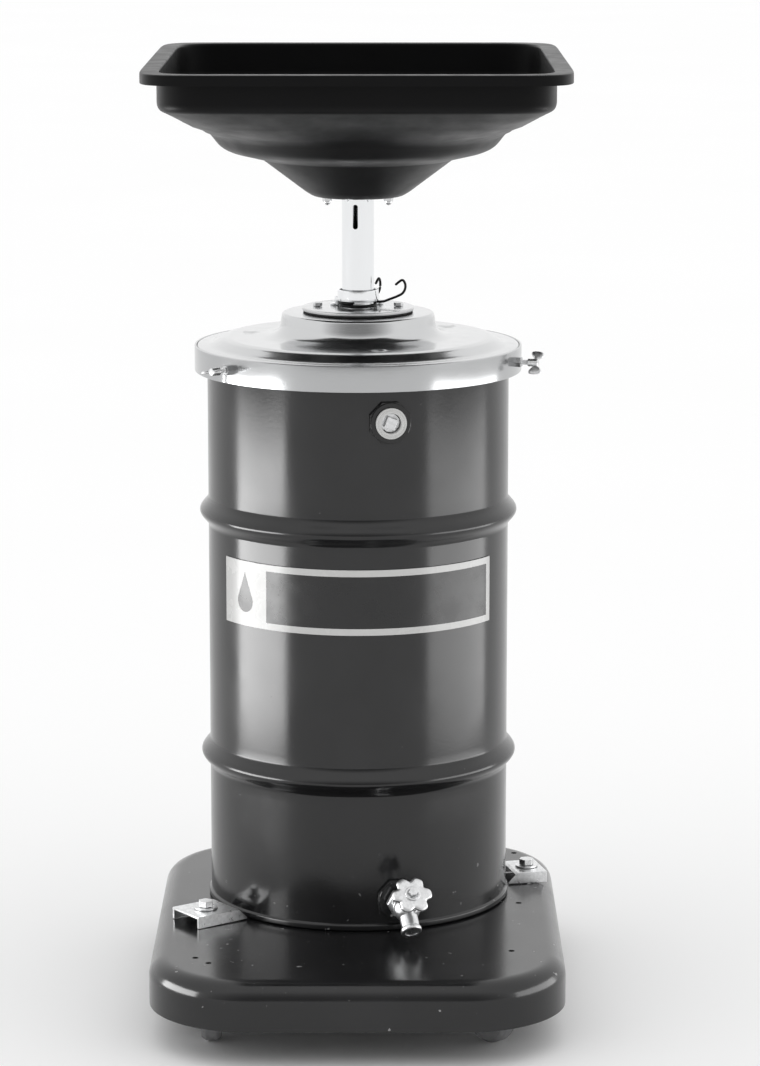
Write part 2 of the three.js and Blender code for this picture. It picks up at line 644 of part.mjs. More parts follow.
// Blank label panel that follows the drum.
const LABEL_R0 = DRUM_R + 0.8;
const labelLoops = [];
const LABEL_STEPS = 24;
const labelFoot = DRUM_FOOT + LABEL.aboveFoot;
const labelTop = labelFoot + LABEL.height;
for (let i = 0; i <= LABEL_STEPS; i += 1) {
  const [x, y] = outwards(-LABEL.half + (2 * LABEL.half * i) / LABEL_STEPS);
  const section = [
    [LABEL_R0, labelFoot], [LABEL_R0 + 0.8, labelFoot], [LABEL_R0 + 0.8, labelTop], [LABEL_R0, labelTop],
  ];
  labelLoops.push(section.map(([r, z]) => [r * x, r * y, z]));
}
piece('label_panel', skinned(labelLoops), 'white');

// ---- ports on the drum's front
const PORT_SEAT = DRUM_R + FIT;
// A welded octagonal boss: its inner end is hollowed to the drum's curve.
function portBoss({ az, z }, boreR) {
  const boss = radial(cut(
    join(
      flats(8, PORT_AF, DRUM_R - 8, DRUM_R + PORT_RISE - 1.5),
      rod(PORT_AF / 2 - 0.5, DRUM_R, DRUM_R + PORT_RISE, MEDIUM),
    ),
    rod(boreR, DRUM_R - 20, DRUM_R + 20, 16),
  ), az, z);
  return cut(boss, rod(PORT_SEAT, z - 60, z + 60, 72));
}
const RING_BORE = 11.8;
piece('side_boss', portBoss(sidePort, 15), 'blackPaint');
piece('side_ring', radial(turned([
  [RING_BORE, DRUM_R - 6], [15 - FIT, DRUM_R - 6], [15 - FIT, DRUM_R + PORT_RISE + FIT],
  [RING_R, DRUM_R + PORT_RISE + FIT], [RING_R, DRUM_R + PORT_RISE + 2.4],
  [RING_R - 1.4, DRUM_R + PORT_RISE + 3.8],
  [RING_BORE, DRUM_R + PORT_RISE + 3.8],
], MEDIUM), sidePort.az, sidePort.z), 'white');
piece('side_plug', radial(spun(join(
  rod(RING_BORE - RUN, DRUM_R - 7, DRUM_R + 2.5, 16),
  block(-6.4, 6.4, -6.4, 6.4, DRUM_R + 1, DRUM_R + PORT_RISE + 2.6),
), -22), sidePort.az, sidePort.z), 'zinc');

piece('drain_boss', portBoss(tapPort, 12.5), 'darkPaint');

// The tap is drawn in its own frame: X across, Y up, Z outwards from the drum's axis.
const TAP_BODY = DRUM_R + 42;
const tapPlace = (geometry) => radial(geometry, tapPort.az, tapPort.z);
const leaning = (geometry, degrees) => moved(geometry.clone().rotateX(rad(degrees)), 0, 0, TAP_BODY);
const BONNET_END = 20;
const STEM_R = 4;
const HANDWHEEL_R = 24;
const tapBall = turned([[0, -15.5], [8, -13.3], [13.3, -8], [15.5, 0], [13.3, 8], [8, 13.3], [0, 15.5]], 16);
piece('tap_body', tapPlace(cut(
  join(
    rod(12.5 - FIT, DRUM_R - 4, DRUM_R + 14),
    flats(6, 30, DRUM_R + 12, DRUM_R + 20),
    rod(13, DRUM_R + 19, TAP_BODY, 16, 15),
    moved(tapBall, 0, 0, TAP_BODY),
    leaning(rod(11.5, 0, BONNET_END - 4), -45),
    leaning(rod(10.5, 0, 27), 45),
    leaning(turned([[0, 25], [10.5, 25], [12.2, 27], [12.2, 30], [11, 31.5], [0, 31.5]], 16), 45),
  ),
  rod(8, DRUM_R - 10, TAP_BODY),
  leaning(rod(7.5, 0, 40), 45),
  leaning(rod(STEM_R + RUN, -4, 30), -45),
)), 'zinc');
piece('tap_packing_nut', tapPlace(leaning(cut(
  join(flats(6, 19, BONNET_END - 4 + FIT, BONNET_END + 3), rod(7.5, BONNET_END, BONNET_END + 6, SMALL, 6.6)),
  rod(STEM_R + RUN, 0, 40),
), -45)), 'zinc');
const WHEEL_Z = BONNET_END + 12;
piece('tap_stem', tapPlace(leaning(join(
  rod(STEM_R, -2, WHEEL_Z + 7, 8),
  flats(6, 9.5, WHEEL_Z + 6.6, WHEEL_Z + 10.5),
), -45)), 'zinc');
const lobes = [];
for (let k = 0; k < 6 * 8; k += 1) {
  const t = (2 * Math.PI * k) / (6 * 8);
  const r = HANDWHEEL_R - 4.6 + 4.6 * Math.cos(6 * t);
  lobes.push([r * Math.cos(t), r * Math.sin(t)]);
}
piece('tap_handwheel', tapPlace(leaning(cut(
  join(sheet(lobes, WHEEL_Z - 3.4, WHEEL_Z + 3.4), rod(10.5, WHEEL_Z - 5, WHEEL_Z + 5.6, 16, 9)),
  rod(STEM_R + FIT, 0, 60, 8),
), -45)), 'zinc');

// ---- dolly
function deckLoop(inset, z) {
  return roundedLoop(-DECK_WIDTH / 2 + inset, -DECK_FRONT + inset, DECK_WIDTH / 2 - inset, DECK_BACK - inset,
    DECK_CORNER_R - inset, z);
}
const edgeFillet = [0, 22.5, 45, 67.5, 90].map((a) => [1 - Math.cos(rad(a)), Math.sin(rad(a))]);
const deckSkin = (t) => [
  [t, SKIRT_FOOT],
  ...edgeFillet.map(([inset, rise]) => [
    t + (DECK_EDGE_R - t) * inset,
    DECK_TOP - DECK_EDGE_R + (DECK_EDGE_R - t) * rise,
  ]),
];
piece('dolly_deck', cut(
  skinned([...deckSkin(DECK_SHEET).reverse(), ...deckSkin(0)].map(([inset, z]) => deckLoop(inset, z))),
  ...SPARE_HOLES.map(([x, y]) => moved(rod(3.6, DECK_TOP - 10, DECK_TOP + 5, 8), x, y, 0)),
), 'darkPaint');

CLIPS.forEach(({ az, length }, i) => {
  const r0 = DRUM_R + FOOT_BEAD;
  const r1 = r0 + length;
  const foot = DECK_TOP + FIT;
  const [half, top, t] = [CLIP_WIDTH / 2, foot + CLIP_RISE, 3];
  // Drawn along +Z from the drum: X across, Y up.
  const profile = [[r0, foot + 1], [r1, foot], [r1, top], [r0 + CLIP_TOE, top]];
  const side = sheet(profile.map(([r, z]) => [r, z]), -half, half);
  side.rotateX(Math.PI / 2);
  const hollow = block(r0 - 20, r1 + 20, -half + t, half - t, foot - 5, top - t);
  const boltR = (r0 + CLIP_TOE + r1) / 2;
  const washer = top + FIT;
  const headFoot = washer + 2 + FIT;
  const clip = cut(side, hollow, moved(rod(5 + FIT, foot, top + 5, 12), boltR, 0, 0));
  const bolt = join(flats(6, 16, headFoot, headFoot + 7), rod(5, DECK_TOP + FIT, headFoot + 1, 12));
  piece(`drum_clip_${i + 1}`, spun(clip, az - 90), 'zinc');
  const washerRing = ring(5 + FIT, 14, washer, washer + 2, 20);
  piece(`clip_washer_${i + 1}`, spun(moved(washerRing, boltR, 0, 0), az - 90), 'zinc');
  piece(`clip_bolt_${i + 1}`, spun(moved(bolt, boltR, 0, 0), az - 90), 'zinc');
});

// ---- casters
const FORK_TOP = 2 * WHEEL_R + 15;
const RACE_FOOT = FORK_TOP + 4;
const CASTER_TOP = DECK_TOP - DECK_SHEET - FIT;
const wheelHalf = WHEEL_WIDTH / 2;
const AXLE_R = 4;
CASTERS.forEach(({ x, y, turn }, i) => {
  const kingpin = rod(AXLE_R + 1, RACE_FOOT - 1, CASTER_TOP - 1, 12);
  const plate = cut(
    join(block(-27, 27, -27, 27, CASTER_TOP - 3, CASTER_TOP), rod(22, RACE_FOOT, CASTER_TOP - 2, 16)),
    rod(AXLE_R + 1 + RUN, RACE_FOOT - 5, CASTER_TOP + 5, 12),
  );
  const legOutline = [
    [-12, FORK_TOP], [-CASTER_TRAIL - 9, WHEEL_R - 1], [-CASTER_TRAIL - 5, WHEEL_R - 7],
    [-CASTER_TRAIL + 5, WHEEL_R - 7], [-CASTER_TRAIL + 9, WHEEL_R - 1], [12, FORK_TOP],
  ];
  const legs = [-1, 1].map((sideways) => {
    const leg = sheet(legOutline.map(([a, b]) => [a, b]), 0, 2.5);
    leg.applyMatrix4(new THREE.Matrix4().makeBasis(
      new THREE.Vector3(0, 1, 0), new THREE.Vector3(0, 0, 1), new THREE.Vector3(1, 0, 0),
    ));
    return moved(leg, sideways > 0 ? wheelHalf + 1.2 : -wheelHalf - 3.7, 0, 0);
  });
  const axleBar = rod(AXLE_R, -wheelHalf - 5.5, wheelHalf + 5.5, 12).rotateY(Math.PI / 2);
  const axle = moved(axleBar, 0, -CASTER_TRAIL, WHEEL_R);
  const fork = join(
    rod(20, FORK_TOP - 1, RACE_FOOT - FIT, 16),
    block(-wheelHalf - 3.7, wheelHalf + 3.7, -12, 12, FORK_TOP - 3, FORK_TOP),
    ...legs, axle, kingpin,
  );
  const wheel = turned([
    [AXLE_R + RUN, -wheelHalf], [13, -wheelHalf], [WHEEL_R - 7.5, -wheelHalf + 2.5],
    [WHEEL_R - 4.5, -wheelHalf], [WHEEL_R, -wheelHalf + 6], [WHEEL_R, wheelHalf - 6],
    [WHEEL_R - 4.5, wheelHalf], [WHEEL_R - 7.5, wheelHalf - 2.5], [13, wheelHalf],
    [AXLE_R + RUN, wheelHalf],
  ], MEDIUM);
  wheel.rotateY(Math.PI / 2);
  const set = [['plate', plate, 0, 'zinc'], ['fork', fork, turn, 'zinc'],
    ['wheel', moved(wheel, 0, -CASTER_TRAIL, WHEEL_R), turn, 'grey']];
  set.forEach(([what, geometry, degrees, finish]) => {
    piece(`caster_${what}_${i + 1}`, moved(spun(geometry, degrees), x, y, 0), finish);
  });
});

export default group;
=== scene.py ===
"""Used-oil drain receiver: bowl, mast, lid, drum and dolly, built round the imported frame. Metres, +Z up."""
import json
import math

import bmesh
import bpy
import numpy as np
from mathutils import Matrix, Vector


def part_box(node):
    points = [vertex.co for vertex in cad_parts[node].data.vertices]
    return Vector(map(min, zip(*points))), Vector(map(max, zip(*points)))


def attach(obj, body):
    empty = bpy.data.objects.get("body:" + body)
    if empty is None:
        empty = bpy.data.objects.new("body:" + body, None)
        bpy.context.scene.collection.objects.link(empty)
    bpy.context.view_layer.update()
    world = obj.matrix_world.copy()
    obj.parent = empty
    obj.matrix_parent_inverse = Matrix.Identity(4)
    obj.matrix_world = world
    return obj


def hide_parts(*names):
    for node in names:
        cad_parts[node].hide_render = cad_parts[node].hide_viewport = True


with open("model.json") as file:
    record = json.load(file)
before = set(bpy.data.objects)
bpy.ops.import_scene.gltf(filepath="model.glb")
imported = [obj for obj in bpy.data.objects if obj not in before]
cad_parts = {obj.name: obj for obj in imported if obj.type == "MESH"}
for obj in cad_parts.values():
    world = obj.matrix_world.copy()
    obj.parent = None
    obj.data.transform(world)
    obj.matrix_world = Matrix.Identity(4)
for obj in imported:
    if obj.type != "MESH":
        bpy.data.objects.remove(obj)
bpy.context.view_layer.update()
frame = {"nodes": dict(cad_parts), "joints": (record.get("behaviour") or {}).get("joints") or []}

bl_info = {
    "name": "Oil drain receiver",
    "version": (1, 0, 0),
    "blender": (4, 5, 0),
    "location": "View3D > Sidebar > Receiver",
    "description": "Builds a drain bowl on a mast over a lidded drum and its dolly",
    "category": "Add Mesh",
}

TAU = 2 * math.pi
FIT = 0.0004
LARGE, MEDIUM, SMALL = 256, 96, 48


def low(node):
    return np.array(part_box(node)[0])


def high(node):
    return np.array(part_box(node)[1])


def middle(node):
    return (low(node) + high(node)) / 2


MAST_X, MAST_Y = (float(v) for v in middle("mast_tube")[:2])
BOWL_HALF = (high("drain_bowl") - low("drain_bowl"))[:2] / 2
DECK_LOW, DECK_HIGH = low("dolly_deck"), high("dolly_deck")
MAST_R = float(high("mast_tube")[0] - low("mast_tube")[0]) / 2
MAST_BORE_R = MAST_R + 0.0005          # the holes that the mast slides in
SHARP_ANGLE = math.radians(38)         # edges sharper than this stay crisp
LID_R = float(high("mounting_plate")[0] - low("mounting_plate")[0]) / 2
DRUM_FOOT, DRUM_TOP = float(low("drum_shell")[2]), float(high("drum_shell")[2])


# ---------------------------------------------------------------- sizes and colours
def length(name, description, default):
    return bpy.props.FloatProperty(
        name=name, description=description, default=default, min=0.0, subtype="DISTANCE", unit="LENGTH")


def tint(name, description, value):
    return bpy.props.FloatVectorProperty(
        name=name, description=description, default=(*value,), size=3, min=0.0, max=1.0, subtype="COLOR")


class ReceiverSizes(bpy.types.PropertyGroup):
    """Sizes of the sheet metal, the plastic and the wire."""
    drum_radius: length("Drum radius", "Outside of the drum's wall", 0.179)
    drum_wall: length("Drum wall", "Thickness of the drum's sheet", 0.0015)
    hoop_rise: length("Hoop rise", "How far a rolling hoop stands out", 0.0102)
    hoop_half: length("Hoop half width", "From the middle of a hoop to its foot", 0.018)
    rim_bead: length("Rim bead", "How far the drum's rolled rim stands out", 0.008)
    band_radius: length("Band radius", "Outside of the lid's skirt band", 0.194)
    band_wall: length("Band wall", "Thickness of the skirt band", 0.0026)
    lid_wall: length("Lid wall", "Thickness of the lid's sheet", 0.0015)
    bowl_wall: length("Bowl wall", "Thickness of the bowl", 0.003)
    bowl_flange: length("Bowl flange", "Width of the bowl's rim", 0.018)
    bowl_lip: length("Bowl lip", "How far the rim turns down", 0.012)
    mast_wall: length("Mast wall", "Thickness of the mast's tube", 0.0025)
    deck_sheet: length("Deck sheet", "Thickness of the dolly's sheet", 0.003)
    deck_corner: length("Deck corner", "Radius of the dolly's corners", 0.12)
    deck_edge: length("Deck edge", "Radius of the dolly's top edge", 0.022)
    wire_radius: length("Wire radius", "Radius of the brake wire", 0.0015)
    label_border: length("Label border", "Width of the label's white border", 0.0078)


class ReceiverColours(bpy.types.PropertyGroup):
    """Colours of the paints, platings and plastics."""
    drum_paint: tint("Drum paint", "Gloss enamel on the drum and dolly", (0.009, 0.009, 0.0095))
    boss_paint: tint("Boss paint", "Gloss black on the side boss", (0.004, 0.004, 0.004))
    bowl_plastic: tint("Bowl plastic", "Moulded black of the bowl", (0.004, 0.004, 0.0042))
    plating: tint("Plating", "Bright plating of the lid and band", (0.60, 0.605, 0.61))
    band: tint("Band plating", "Plating of the skirt band", (0.48, 0.485, 0.49))
    chrome: tint("Chrome", "Hard chrome of the mast", (0.86, 0.87, 0.88))
    zinc: tint("Zinc", "Zinc plating of the fasteners", (0.78, 0.785, 0.79))
    wire: tint("Wire", "Black oxide of the brake wire", (0.012, 0.012, 0.012))
    rubber: tint("Rubber", "Gaskets and wiper", (0.018, 0.018, 0.018))
    tyre: tint("Tyre", "Caster wheels", (0.21, 0.21, 0.215))
    label_white: tint("Label white", "White of the label and the port's ring", (0.62, 0.62, 0.61))


def sizes():
    return bpy.context.scene.receiver_sizes


def colour(name):
    return (*getattr(bpy.context.scene.receiver_colours, name), 1.0)


# ---------------------------------------------------------------- surfaces
def surface(name, points, round_rows=True, closed_profile=False):
    """A grid of points (rows along the profile, columns round it) made a mesh of quads. Columns join up
    when round_rows is set and rows join up when closed_profile is set."""
    rows, columns = points.shape[:2]
    i = np.arange(rows if closed_profile else rows - 1)[:, None]
    j = np.arange(columns if round_rows else columns - 1)[None, :]
    here, ahead, beside = i * columns, (i + 1) % rows * columns, (j + 1) % columns
    quads = np.stack([here + j, here + beside, ahead + beside, ahead + j], -1)
    mesh = bpy.data.meshes.new(name)
    mesh.from_pydata(points.reshape(-1, 3).tolist(), [], quads.reshape(-1, 4).tolist())
    return tidy(name, mesh)


def tidy(name, mesh):
    """Merges points that meet, drops loose ones and shades smoothly up to a sharp edge."""
    work = bmesh.new()
    work.from_mesh(mesh)
    bmesh.ops.remove_doubles(work, verts=work.verts, dist=2e-6)
    bmesh.ops.delete(work, geom=[v for v in work.verts if not v.link_faces], context="VERTS")
    work.to_mesh(mesh)
    work.free()
    mesh.shade_smooth()
    mesh.set_sharp_from_angle(angle=SHARP_ANGLE)
    obj = bpy.data.objects.new(name, mesh)
    bpy.context.scene.collection.objects.link(obj)
    return obj


def eased(corners, radius, steps=6):
    """Each inner corner becomes a quadratic arc that leaves and meets its two sides a radius away, or 0.45
    of a side where that is less. Works on rows of any number of values."""
    p = np.asarray(corners, float)
    here = p[1:-1]
    back, on = p[:-2] - here, p[2:] - here
    sides = [np.linalg.norm(v[:, :3], axis=1, keepdims=True) for v in (back, on)]
    radius = np.broadcast_to(np.asarray(radius, float).reshape(-1, 1), sides[0].shape)
    starts = [here + v * np.minimum(radius / np.maximum(s, 1e-9), 0.45) for v, s in zip((back, on), sides)]
    t = np.linspace(0, 1, steps)[None, :, None]
    arcs = (1 - t) ** 2 * starts[0][:, None] + 2 * t * (1 - t) * here[:, None] + t ** 2 * starts[1][:, None]
    return np.vstack([p[:1], arcs.reshape(-1, p.shape[1]), p[-1:]])


def turned(profile, segments=LARGE):
    """Profile rows of (radius, height) carried round the Z axis: x = r cos t, y = r sin t."""
    t = np.linspace(0, TAU, segments, endpoint=False)
    r, z = np.asarray(profile, float).T
    return np.stack([r[:, None] * np.cos(t), r[:, None] * np.sin(t), np.repeat(z[:, None], segments, 1)], -1)


def outwards(azimuth):
    """Unit vector on the level, counted from the front towards +X."""
    a = math.radians(azimuth)
    return np.array([math.sin(a), -math.cos(a), 0.0])


def placed(points, origin, axis=(0, 0, 1), turn=0.0):
    """Turns points drawn about local Z so that Z lies on axis and local Y leans upwards, and moves them."""
    z = np.asarray(axis, float) / np.linalg.norm(axis)
    x = np.array([1.0, 0, 0]) if abs(z[2]) > 0.999 else np.cross((0, 0, 1), z)
    x = x / np.linalg.norm(x)
    y = np.cross(z, x)
    c, s = math.cos(math.radians(turn)), math.sin(math.radians(turn))
    basis = np.stack([c * x + s * y, c * y - s * x, z])
    return points @ basis + np.asarray(origin, float)


def ring_profile(r0, r1, z0, z1, ease=0.0004):
    """Closed outline of a ring, its four corners eased."""
    z = (z0 + z1) / 2
    corners = [(r1, z), (r1, z1), (r0, z1), (r0, z0), (r1, z0), (r1, z)]
    return eased(corners, ease, 4)[:-1]


def prism(sides, across, z0, z1, chamfer=0.0006):
    """A bar with flat sides: a turned profile with as many segments as it has sides, chamfered at its
    ends."""
    r = across / 2 / math.cos(math.pi / sides)
    profile = [(0, z0), (r - chamfer, z0), (r, z0 + chamfer), (r, z1 - chamfer), (r - chamfer, z1), (0, z1)]
    return turned(profile, sides)


def tube(path, radius, segments=16, per_span=8):
    """A round wire on a Catmull-Rom curve through path: each section stands square to the curve, and the
    ends are domed."""
    p = np.asarray(path, float)
    p = np.vstack([2 * p[0] - p[1], p, 2 * p[-1] - p[-2]])
    t = np.linspace(0, 1, per_span, endpoint=False)[None, :, None]
    a, b, c, d = (p[k:len(p) - 3 + k, None] for k in range(4))
    curve = 0.5 * (2 * b + (c - a) * t + (2 * a - 5 * b + 4 * c - d) * t ** 2
                   + (3 * b - a - 3 * c + d) * t ** 3)
    curve = np.vstack([curve.reshape(-1, 3), p[-2]])
    ahead = np.gradient(curve, axis=0)
    ahead /= np.linalg.norm(ahead, axis=1, keepdims=True)
    side = np.cross(ahead, (0.12, 0.2, 0.97))
    side /= np.linalg.norm(side, axis=1, keepdims=True)
    over = np.cross(ahead, side)
    q = np.linspace(0, math.pi / 2, 5)
    scale = np.concatenate([np.sin(q[:-1]), np.ones(len(curve)), np.cos(q[1:])])
    slide = np.concatenate([-np.cos(q[:-1]), np.zeros(len(curve)), np.sin(q[1:])])
    pick = np.concatenate([np.zeros(4, int), np.arange(len(curve)), np.full(4, len(curve) - 1)])
    w = np.linspace(0, TAU, segments, endpoint=False)
    ring = side[pick][:, None] * np.cos(w)[None, :, None] + over[pick][:, None] * np.sin(w)[None, :, None]
    base = curve[pick] + ahead[pick] * (slide * radius)[:, None]
    return base[:, None] + ring * (scale * radius)[:, None, None]


def pillow(outline, thickness, power=0.5, steps=7):
    """A flat outline swelling to full size at mid thickness: rows go from face to face as v runs from
    -90 to 90 degrees, size following cos(v) to a power and height following sin(v)."""
    p = np.asarray(outline, float)
    centre = p.mean(axis=0)
    v = np.linspace(-math.pi / 2, math.pi / 2, 2 * steps + 1)
    shrink = np.maximum(np.cos(v), 0) ** power
    shrink[[0, -1]] = 0
    xy = centre + (p - centre)[None] * shrink[:, None, None]
    z = np.repeat((np.sin(v) * thickness / 2)[:, None], len(p), 1)
    return np.concatenate([xy, z[..., None]], -1)


def settled(obj):
    """Works the modifiers into the mesh and marks its sharp edges afresh."""
    graph = bpy.context.evaluated_depsgraph_get()
    mesh = bpy.data.meshes.new_from_object(obj.evaluated_get(graph))
    obj.modifiers.clear()
    old, obj.data = obj.data, mesh
    bpy.data.meshes.remove(old)
    mesh.shade_smooth()
    mesh.set_sharp_from_angle(angle=SHARP_ANGLE)


def walled(obj, thickness):
    """Gives a single surface its wall, inwards."""
    wall = obj.modifiers.new("wall", "SOLIDIFY")
    wall.thickness = thickness
    wall.offset = -1
    wall.use_even_offset = True
    wall.use_rim = True
    settled(obj)


def bar(outline, z0, z1):
    """A flat outline drawn out along Z and closed at both ends by a point on its middle."""
    p = np.asarray(outline, float)
    level = np.array([z0, z0, z1, z1])
    xy = p.mean(axis=0) + (p - p.mean(axis=0))[None] * np.array([0, 1, 1, 0])[:, None, None]
    return np.concatenate([xy, np.repeat(level[:, None], len(p), 1)[..., None]], -1)


def pierced(obj, drills):
    """Cuts the drills out of a piece."""
    drill = joined("drills", drills)
    cut = obj.modifiers.new("holes", "BOOLEAN")
    cut.operation = "DIFFERENCE"
    cut.solver = "EXACT"
    cut.object = drill
    settled(obj)
    bpy.data.objects.remove(drill)


def bevelled(obj, width, segments=2):
    edge = obj.modifiers.new("eased edges", "BEVEL")
    edge.width = width
    edge.segments = segments
    edge.limit_method = "ANGLE"
    edge.angle_limit = math.radians(35)


def joined(name, parts):
    """Several surfaces made one piece."""
    work = bmesh.new()
    for part in parts:
        work.from_mesh(part.data)
        old = part.data
        bpy.data.objects.remove(part)
        bpy.data.meshes.remove(old)
    mesh = bpy.data.meshes.new(name)
    work.to_mesh(mesh)
    work.free()
    return tidy(name, mesh)


def fit_out(obj, finish, slot, body, *nodes):
    """Gives a piece its finish and its body, and lets it stand for its CAD nodes."""
    obj.data.materials.clear()
    obj.data.materials.append(finish)
    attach(obj, body)
    if nodes:
        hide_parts(*nodes)
    return obj


def refinish(node, finish, edge=0.0003):
    """Gives a CAD node its finish and eases its edges."""
    obj = frame["nodes"][node]
    if not obj.material_slots:
        obj.data.materials.append(finish)
    for held in obj.material_slots:
        held.material = finish
    weld = obj.modifiers.new("weld", "WELD")
    weld.merge_threshold = 0.00001
    bevelled(obj, edge)


# ---------------------------------------------------------------- finishes
class Finish:
    """A material's nodes, wired a step at a time."""

    def __init__(self, name):
        self.material = bpy.data.materials.get(name) or bpy.data.materials.new(name)
        self.material.use_nodes = True
        self.tree = self.material.node_tree
        self.tree.nodes.clear()
        self.shader = self.tree.nodes.new("ShaderNodeBsdfPrincipled")
        out = self.tree.nodes.new("ShaderNodeOutputMaterial")
        self.tree.links.new(self.shader.outputs[0], out.inputs[0])
        self.place = self.tree.nodes.new("ShaderNodeTexCoord")

    def add(self, kind, **values):
        node = self.tree.nodes.new(kind)
        for key, value in values.items():
            if hasattr(node, key):
                setattr(node, key, value)
            else:
                node.inputs[key.replace("_", " ")].default_value = value
        return node

    def link(self, source, target):
        self.tree.links.new(source, target)

    def stretched(self, scale, source="Object"):
        mapping = self.add("ShaderNodeMapping")
        mapping.inputs["Scale"].default_value = scale
        self.link(self.place.outputs[source], mapping.inputs["Vector"])
        return mapping.outputs[0]

    def noise(self, scale, detail=4.0, vector=None, roughness=0.55):
        node = self.add("ShaderNodeTexNoise", Scale=scale, Detail=detail, Roughness=roughness)
        self.link(vector or self.place.outputs["Object"], node.inputs["Vector"])
        return node.outputs["Fac"]

    def ranged(self, value, low_in, high_in, low_out, high_out):
        node = self.add("ShaderNodeMapRange")
        keys = ("From Min", "From Max", "To Min", "To Max")
        for key, number in zip(keys, (low_in, high_in, low_out, high_out)):
            node.inputs[key].default_value = number
        self.link(value, node.inputs["Value"])
        return node.outputs[0]

    def math(self, operation, a, b=0.0):
        node = self.add("ShaderNodeMath", operation=operation)
        for socket, value in zip(node.inputs, (a, b)):
            if isinstance(value, (int, float)):
                socket.default_value = value
            else:
                self.link(value, socket)
        return node.outputs[0]

    def mixed(self, factor, first, second):
        node = self.add("ShaderNodeMix", data_type="RGBA")
        self.link(factor, node.inputs["Factor"])
        for index, value in ((6, first), (7, second)):
            if isinstance(value, tuple):
                node.inputs[index].default_value = value
            else:
                self.link(value, node.inputs[index])
        return node.outputs[2]

    def base(self, value):
        socket = self.shader.inputs["Base Color"]
        if isinstance(value, tuple):
            socket.default_value = value
        else:
            self.link(value, socket)

    def rough(self, value):
        self.link(value, self.shader.inputs["Roughness"])

    def bump(self, height, strength, distance):
        node = self.add("ShaderNodeBump", Strength=strength, Distance=distance)
        self.link(height, node.inputs["Height"])
        if self.shader.inputs["Normal"].is_linked:
            self.link(self.shader.inputs["Normal"].links[0].from_socket, node.inputs["Normal"])
        self.link(node.outputs[0], self.shader.inputs["Normal"])


def shade(value, share):
    return (*(channel * share for channel in value[:3]), 1.0)


def gloss_paint(name, tone):
    """Sprayed enamel: orange peel, faint dust, and chips to bare metal that gather low down."""
    f = Finish(name)
    dust = f.ranged(f.noise(14.0, 6.0), 0.45, 0.75, 0.0, 0.5)
    body = f.mixed(dust, tone, shade(tone, 2.2))
    split = f.add("ShaderNodeSeparateXYZ")
    f.link(f.place.outputs["Object"], split.inputs[0])
    low_down = f.ranged(split.outputs["Z"], 0.12, 0.20, 1.0, 0.0)
    spots = f.ranged(f.noise(95.0, 3.0), 0.715, 0.735, 0.0, 0.8)
    specks = f.ranged(f.noise(420.0, 2.0), 0.76, 0.80, 0.0, 0.6)
    chips = f.math("MAXIMUM", f.math("MULTIPLY", spots, low_down), specks)
    f.base(f.mixed(chips, body, (0.34, 0.34, 0.34, 1.0)))
    f.rough(f.math("ADD", f.ranged(f.noise(9.0, 5.0), 0.3, 0.7, 0.14, 0.24), f.math("MULTIPLY", chips, 0.25)))
    f.bump(f.noise(260.0, 2.0), 0.10, 0.0004)
    return f.material


def bright_plating(name, tone):
    """Plated sheet: fine rolling marks, clouding, and faint finger smears."""
    f = Finish(name)
    marks = f.noise(60.0, 5.0, f.stretched((1.0, 1.0, 14.0)))
    clouds = f.noise(7.0, 4.0)
    f.base(f.mixed(clouds, shade(tone, 0.86), tone))
    f.rough(f.math("ADD", f.ranged(marks, 0.3, 0.7, 0.13, 0.18), f.ranged(clouds, 0.3, 0.7, 0.0, 0.05)))
    f.bump(marks, 0.025, 0.0001)
    f.shader.inputs["Metallic"].default_value = 1.0
    return f.material


def hard_chrome(name, tone):
    """Polished tube: hairline marks along its length."""
    f = Finish(name)
    lines = f.noise(240.0, 4.0, f.stretched((1.0, 1.0, 0.06)))
    f.base(f.mixed(lines, shade(tone, 0.93), tone))
    f.rough(f.ranged(lines, 0.3, 0.7, 0.06, 0.14))
    f.bump(lines, 0.04, 0.0001)
    f.shader.inputs["Metallic"].default_value = 1.0
    return f.material


def zinc_plating(name, tone):
    """Zinc over pressed steel: small crystals of differing tone, and a dull grain."""
    f = Finish(name)
    cells = f.add("ShaderNodeTexVoronoi", Scale=330.0)
    f.link(f.place.outputs["Object"], cells.inputs["Vector"])
    f.base(f.mixed(cells.outputs["Color"], shade(tone, 0.78), tone))
    f.rough(f.ranged(f.noise(120.0), 0.3, 0.7, 0.24, 0.42))
    f.bump(f.noise(900.0, 3.0), 0.12, 0.0002)
    f.shader.inputs["Metallic"].default_value = 1.0
    return f.material


def moulded_plastic(name, tone):
    """Rotationally moulded plastic: a fine pebble skin with slow waves under it."""
    f = Finish(name)
    f.base(f.mixed(f.noise(5.0, 3.0), tone, shade(tone, 1.6)))
    f.rough(f.ranged(f.noise(30.0, 4.0), 0.3, 0.7, 0.36, 0.48))
    f.bump(f.noise(850.0, 2.0), 0.18, 0.0003)
    f.bump(f.noise(11.0, 2.0), 0.12, 0.002)
    f.shader.inputs["Specular Tint"].default_value = (0.18, 0.18, 0.18, 1.0)
    return f.material


def matt_rubber(name, tone, rough=0.7):
    """Rubber: mottled, scuffed and slightly grained."""
    f = Finish(name)
    f.base(f.mixed(f.ranged(f.noise(70.0, 5.0), 0.4, 0.7, 0.0, 0.6), tone, shade(tone, 1.5)))
    f.rough(f.ranged(f.noise(45.0), 0.3, 0.7, rough - 0.12, rough + 0.1))
    f.bump(f.noise(700.0, 3.0), 0.25, 0.0003)
    return f.material


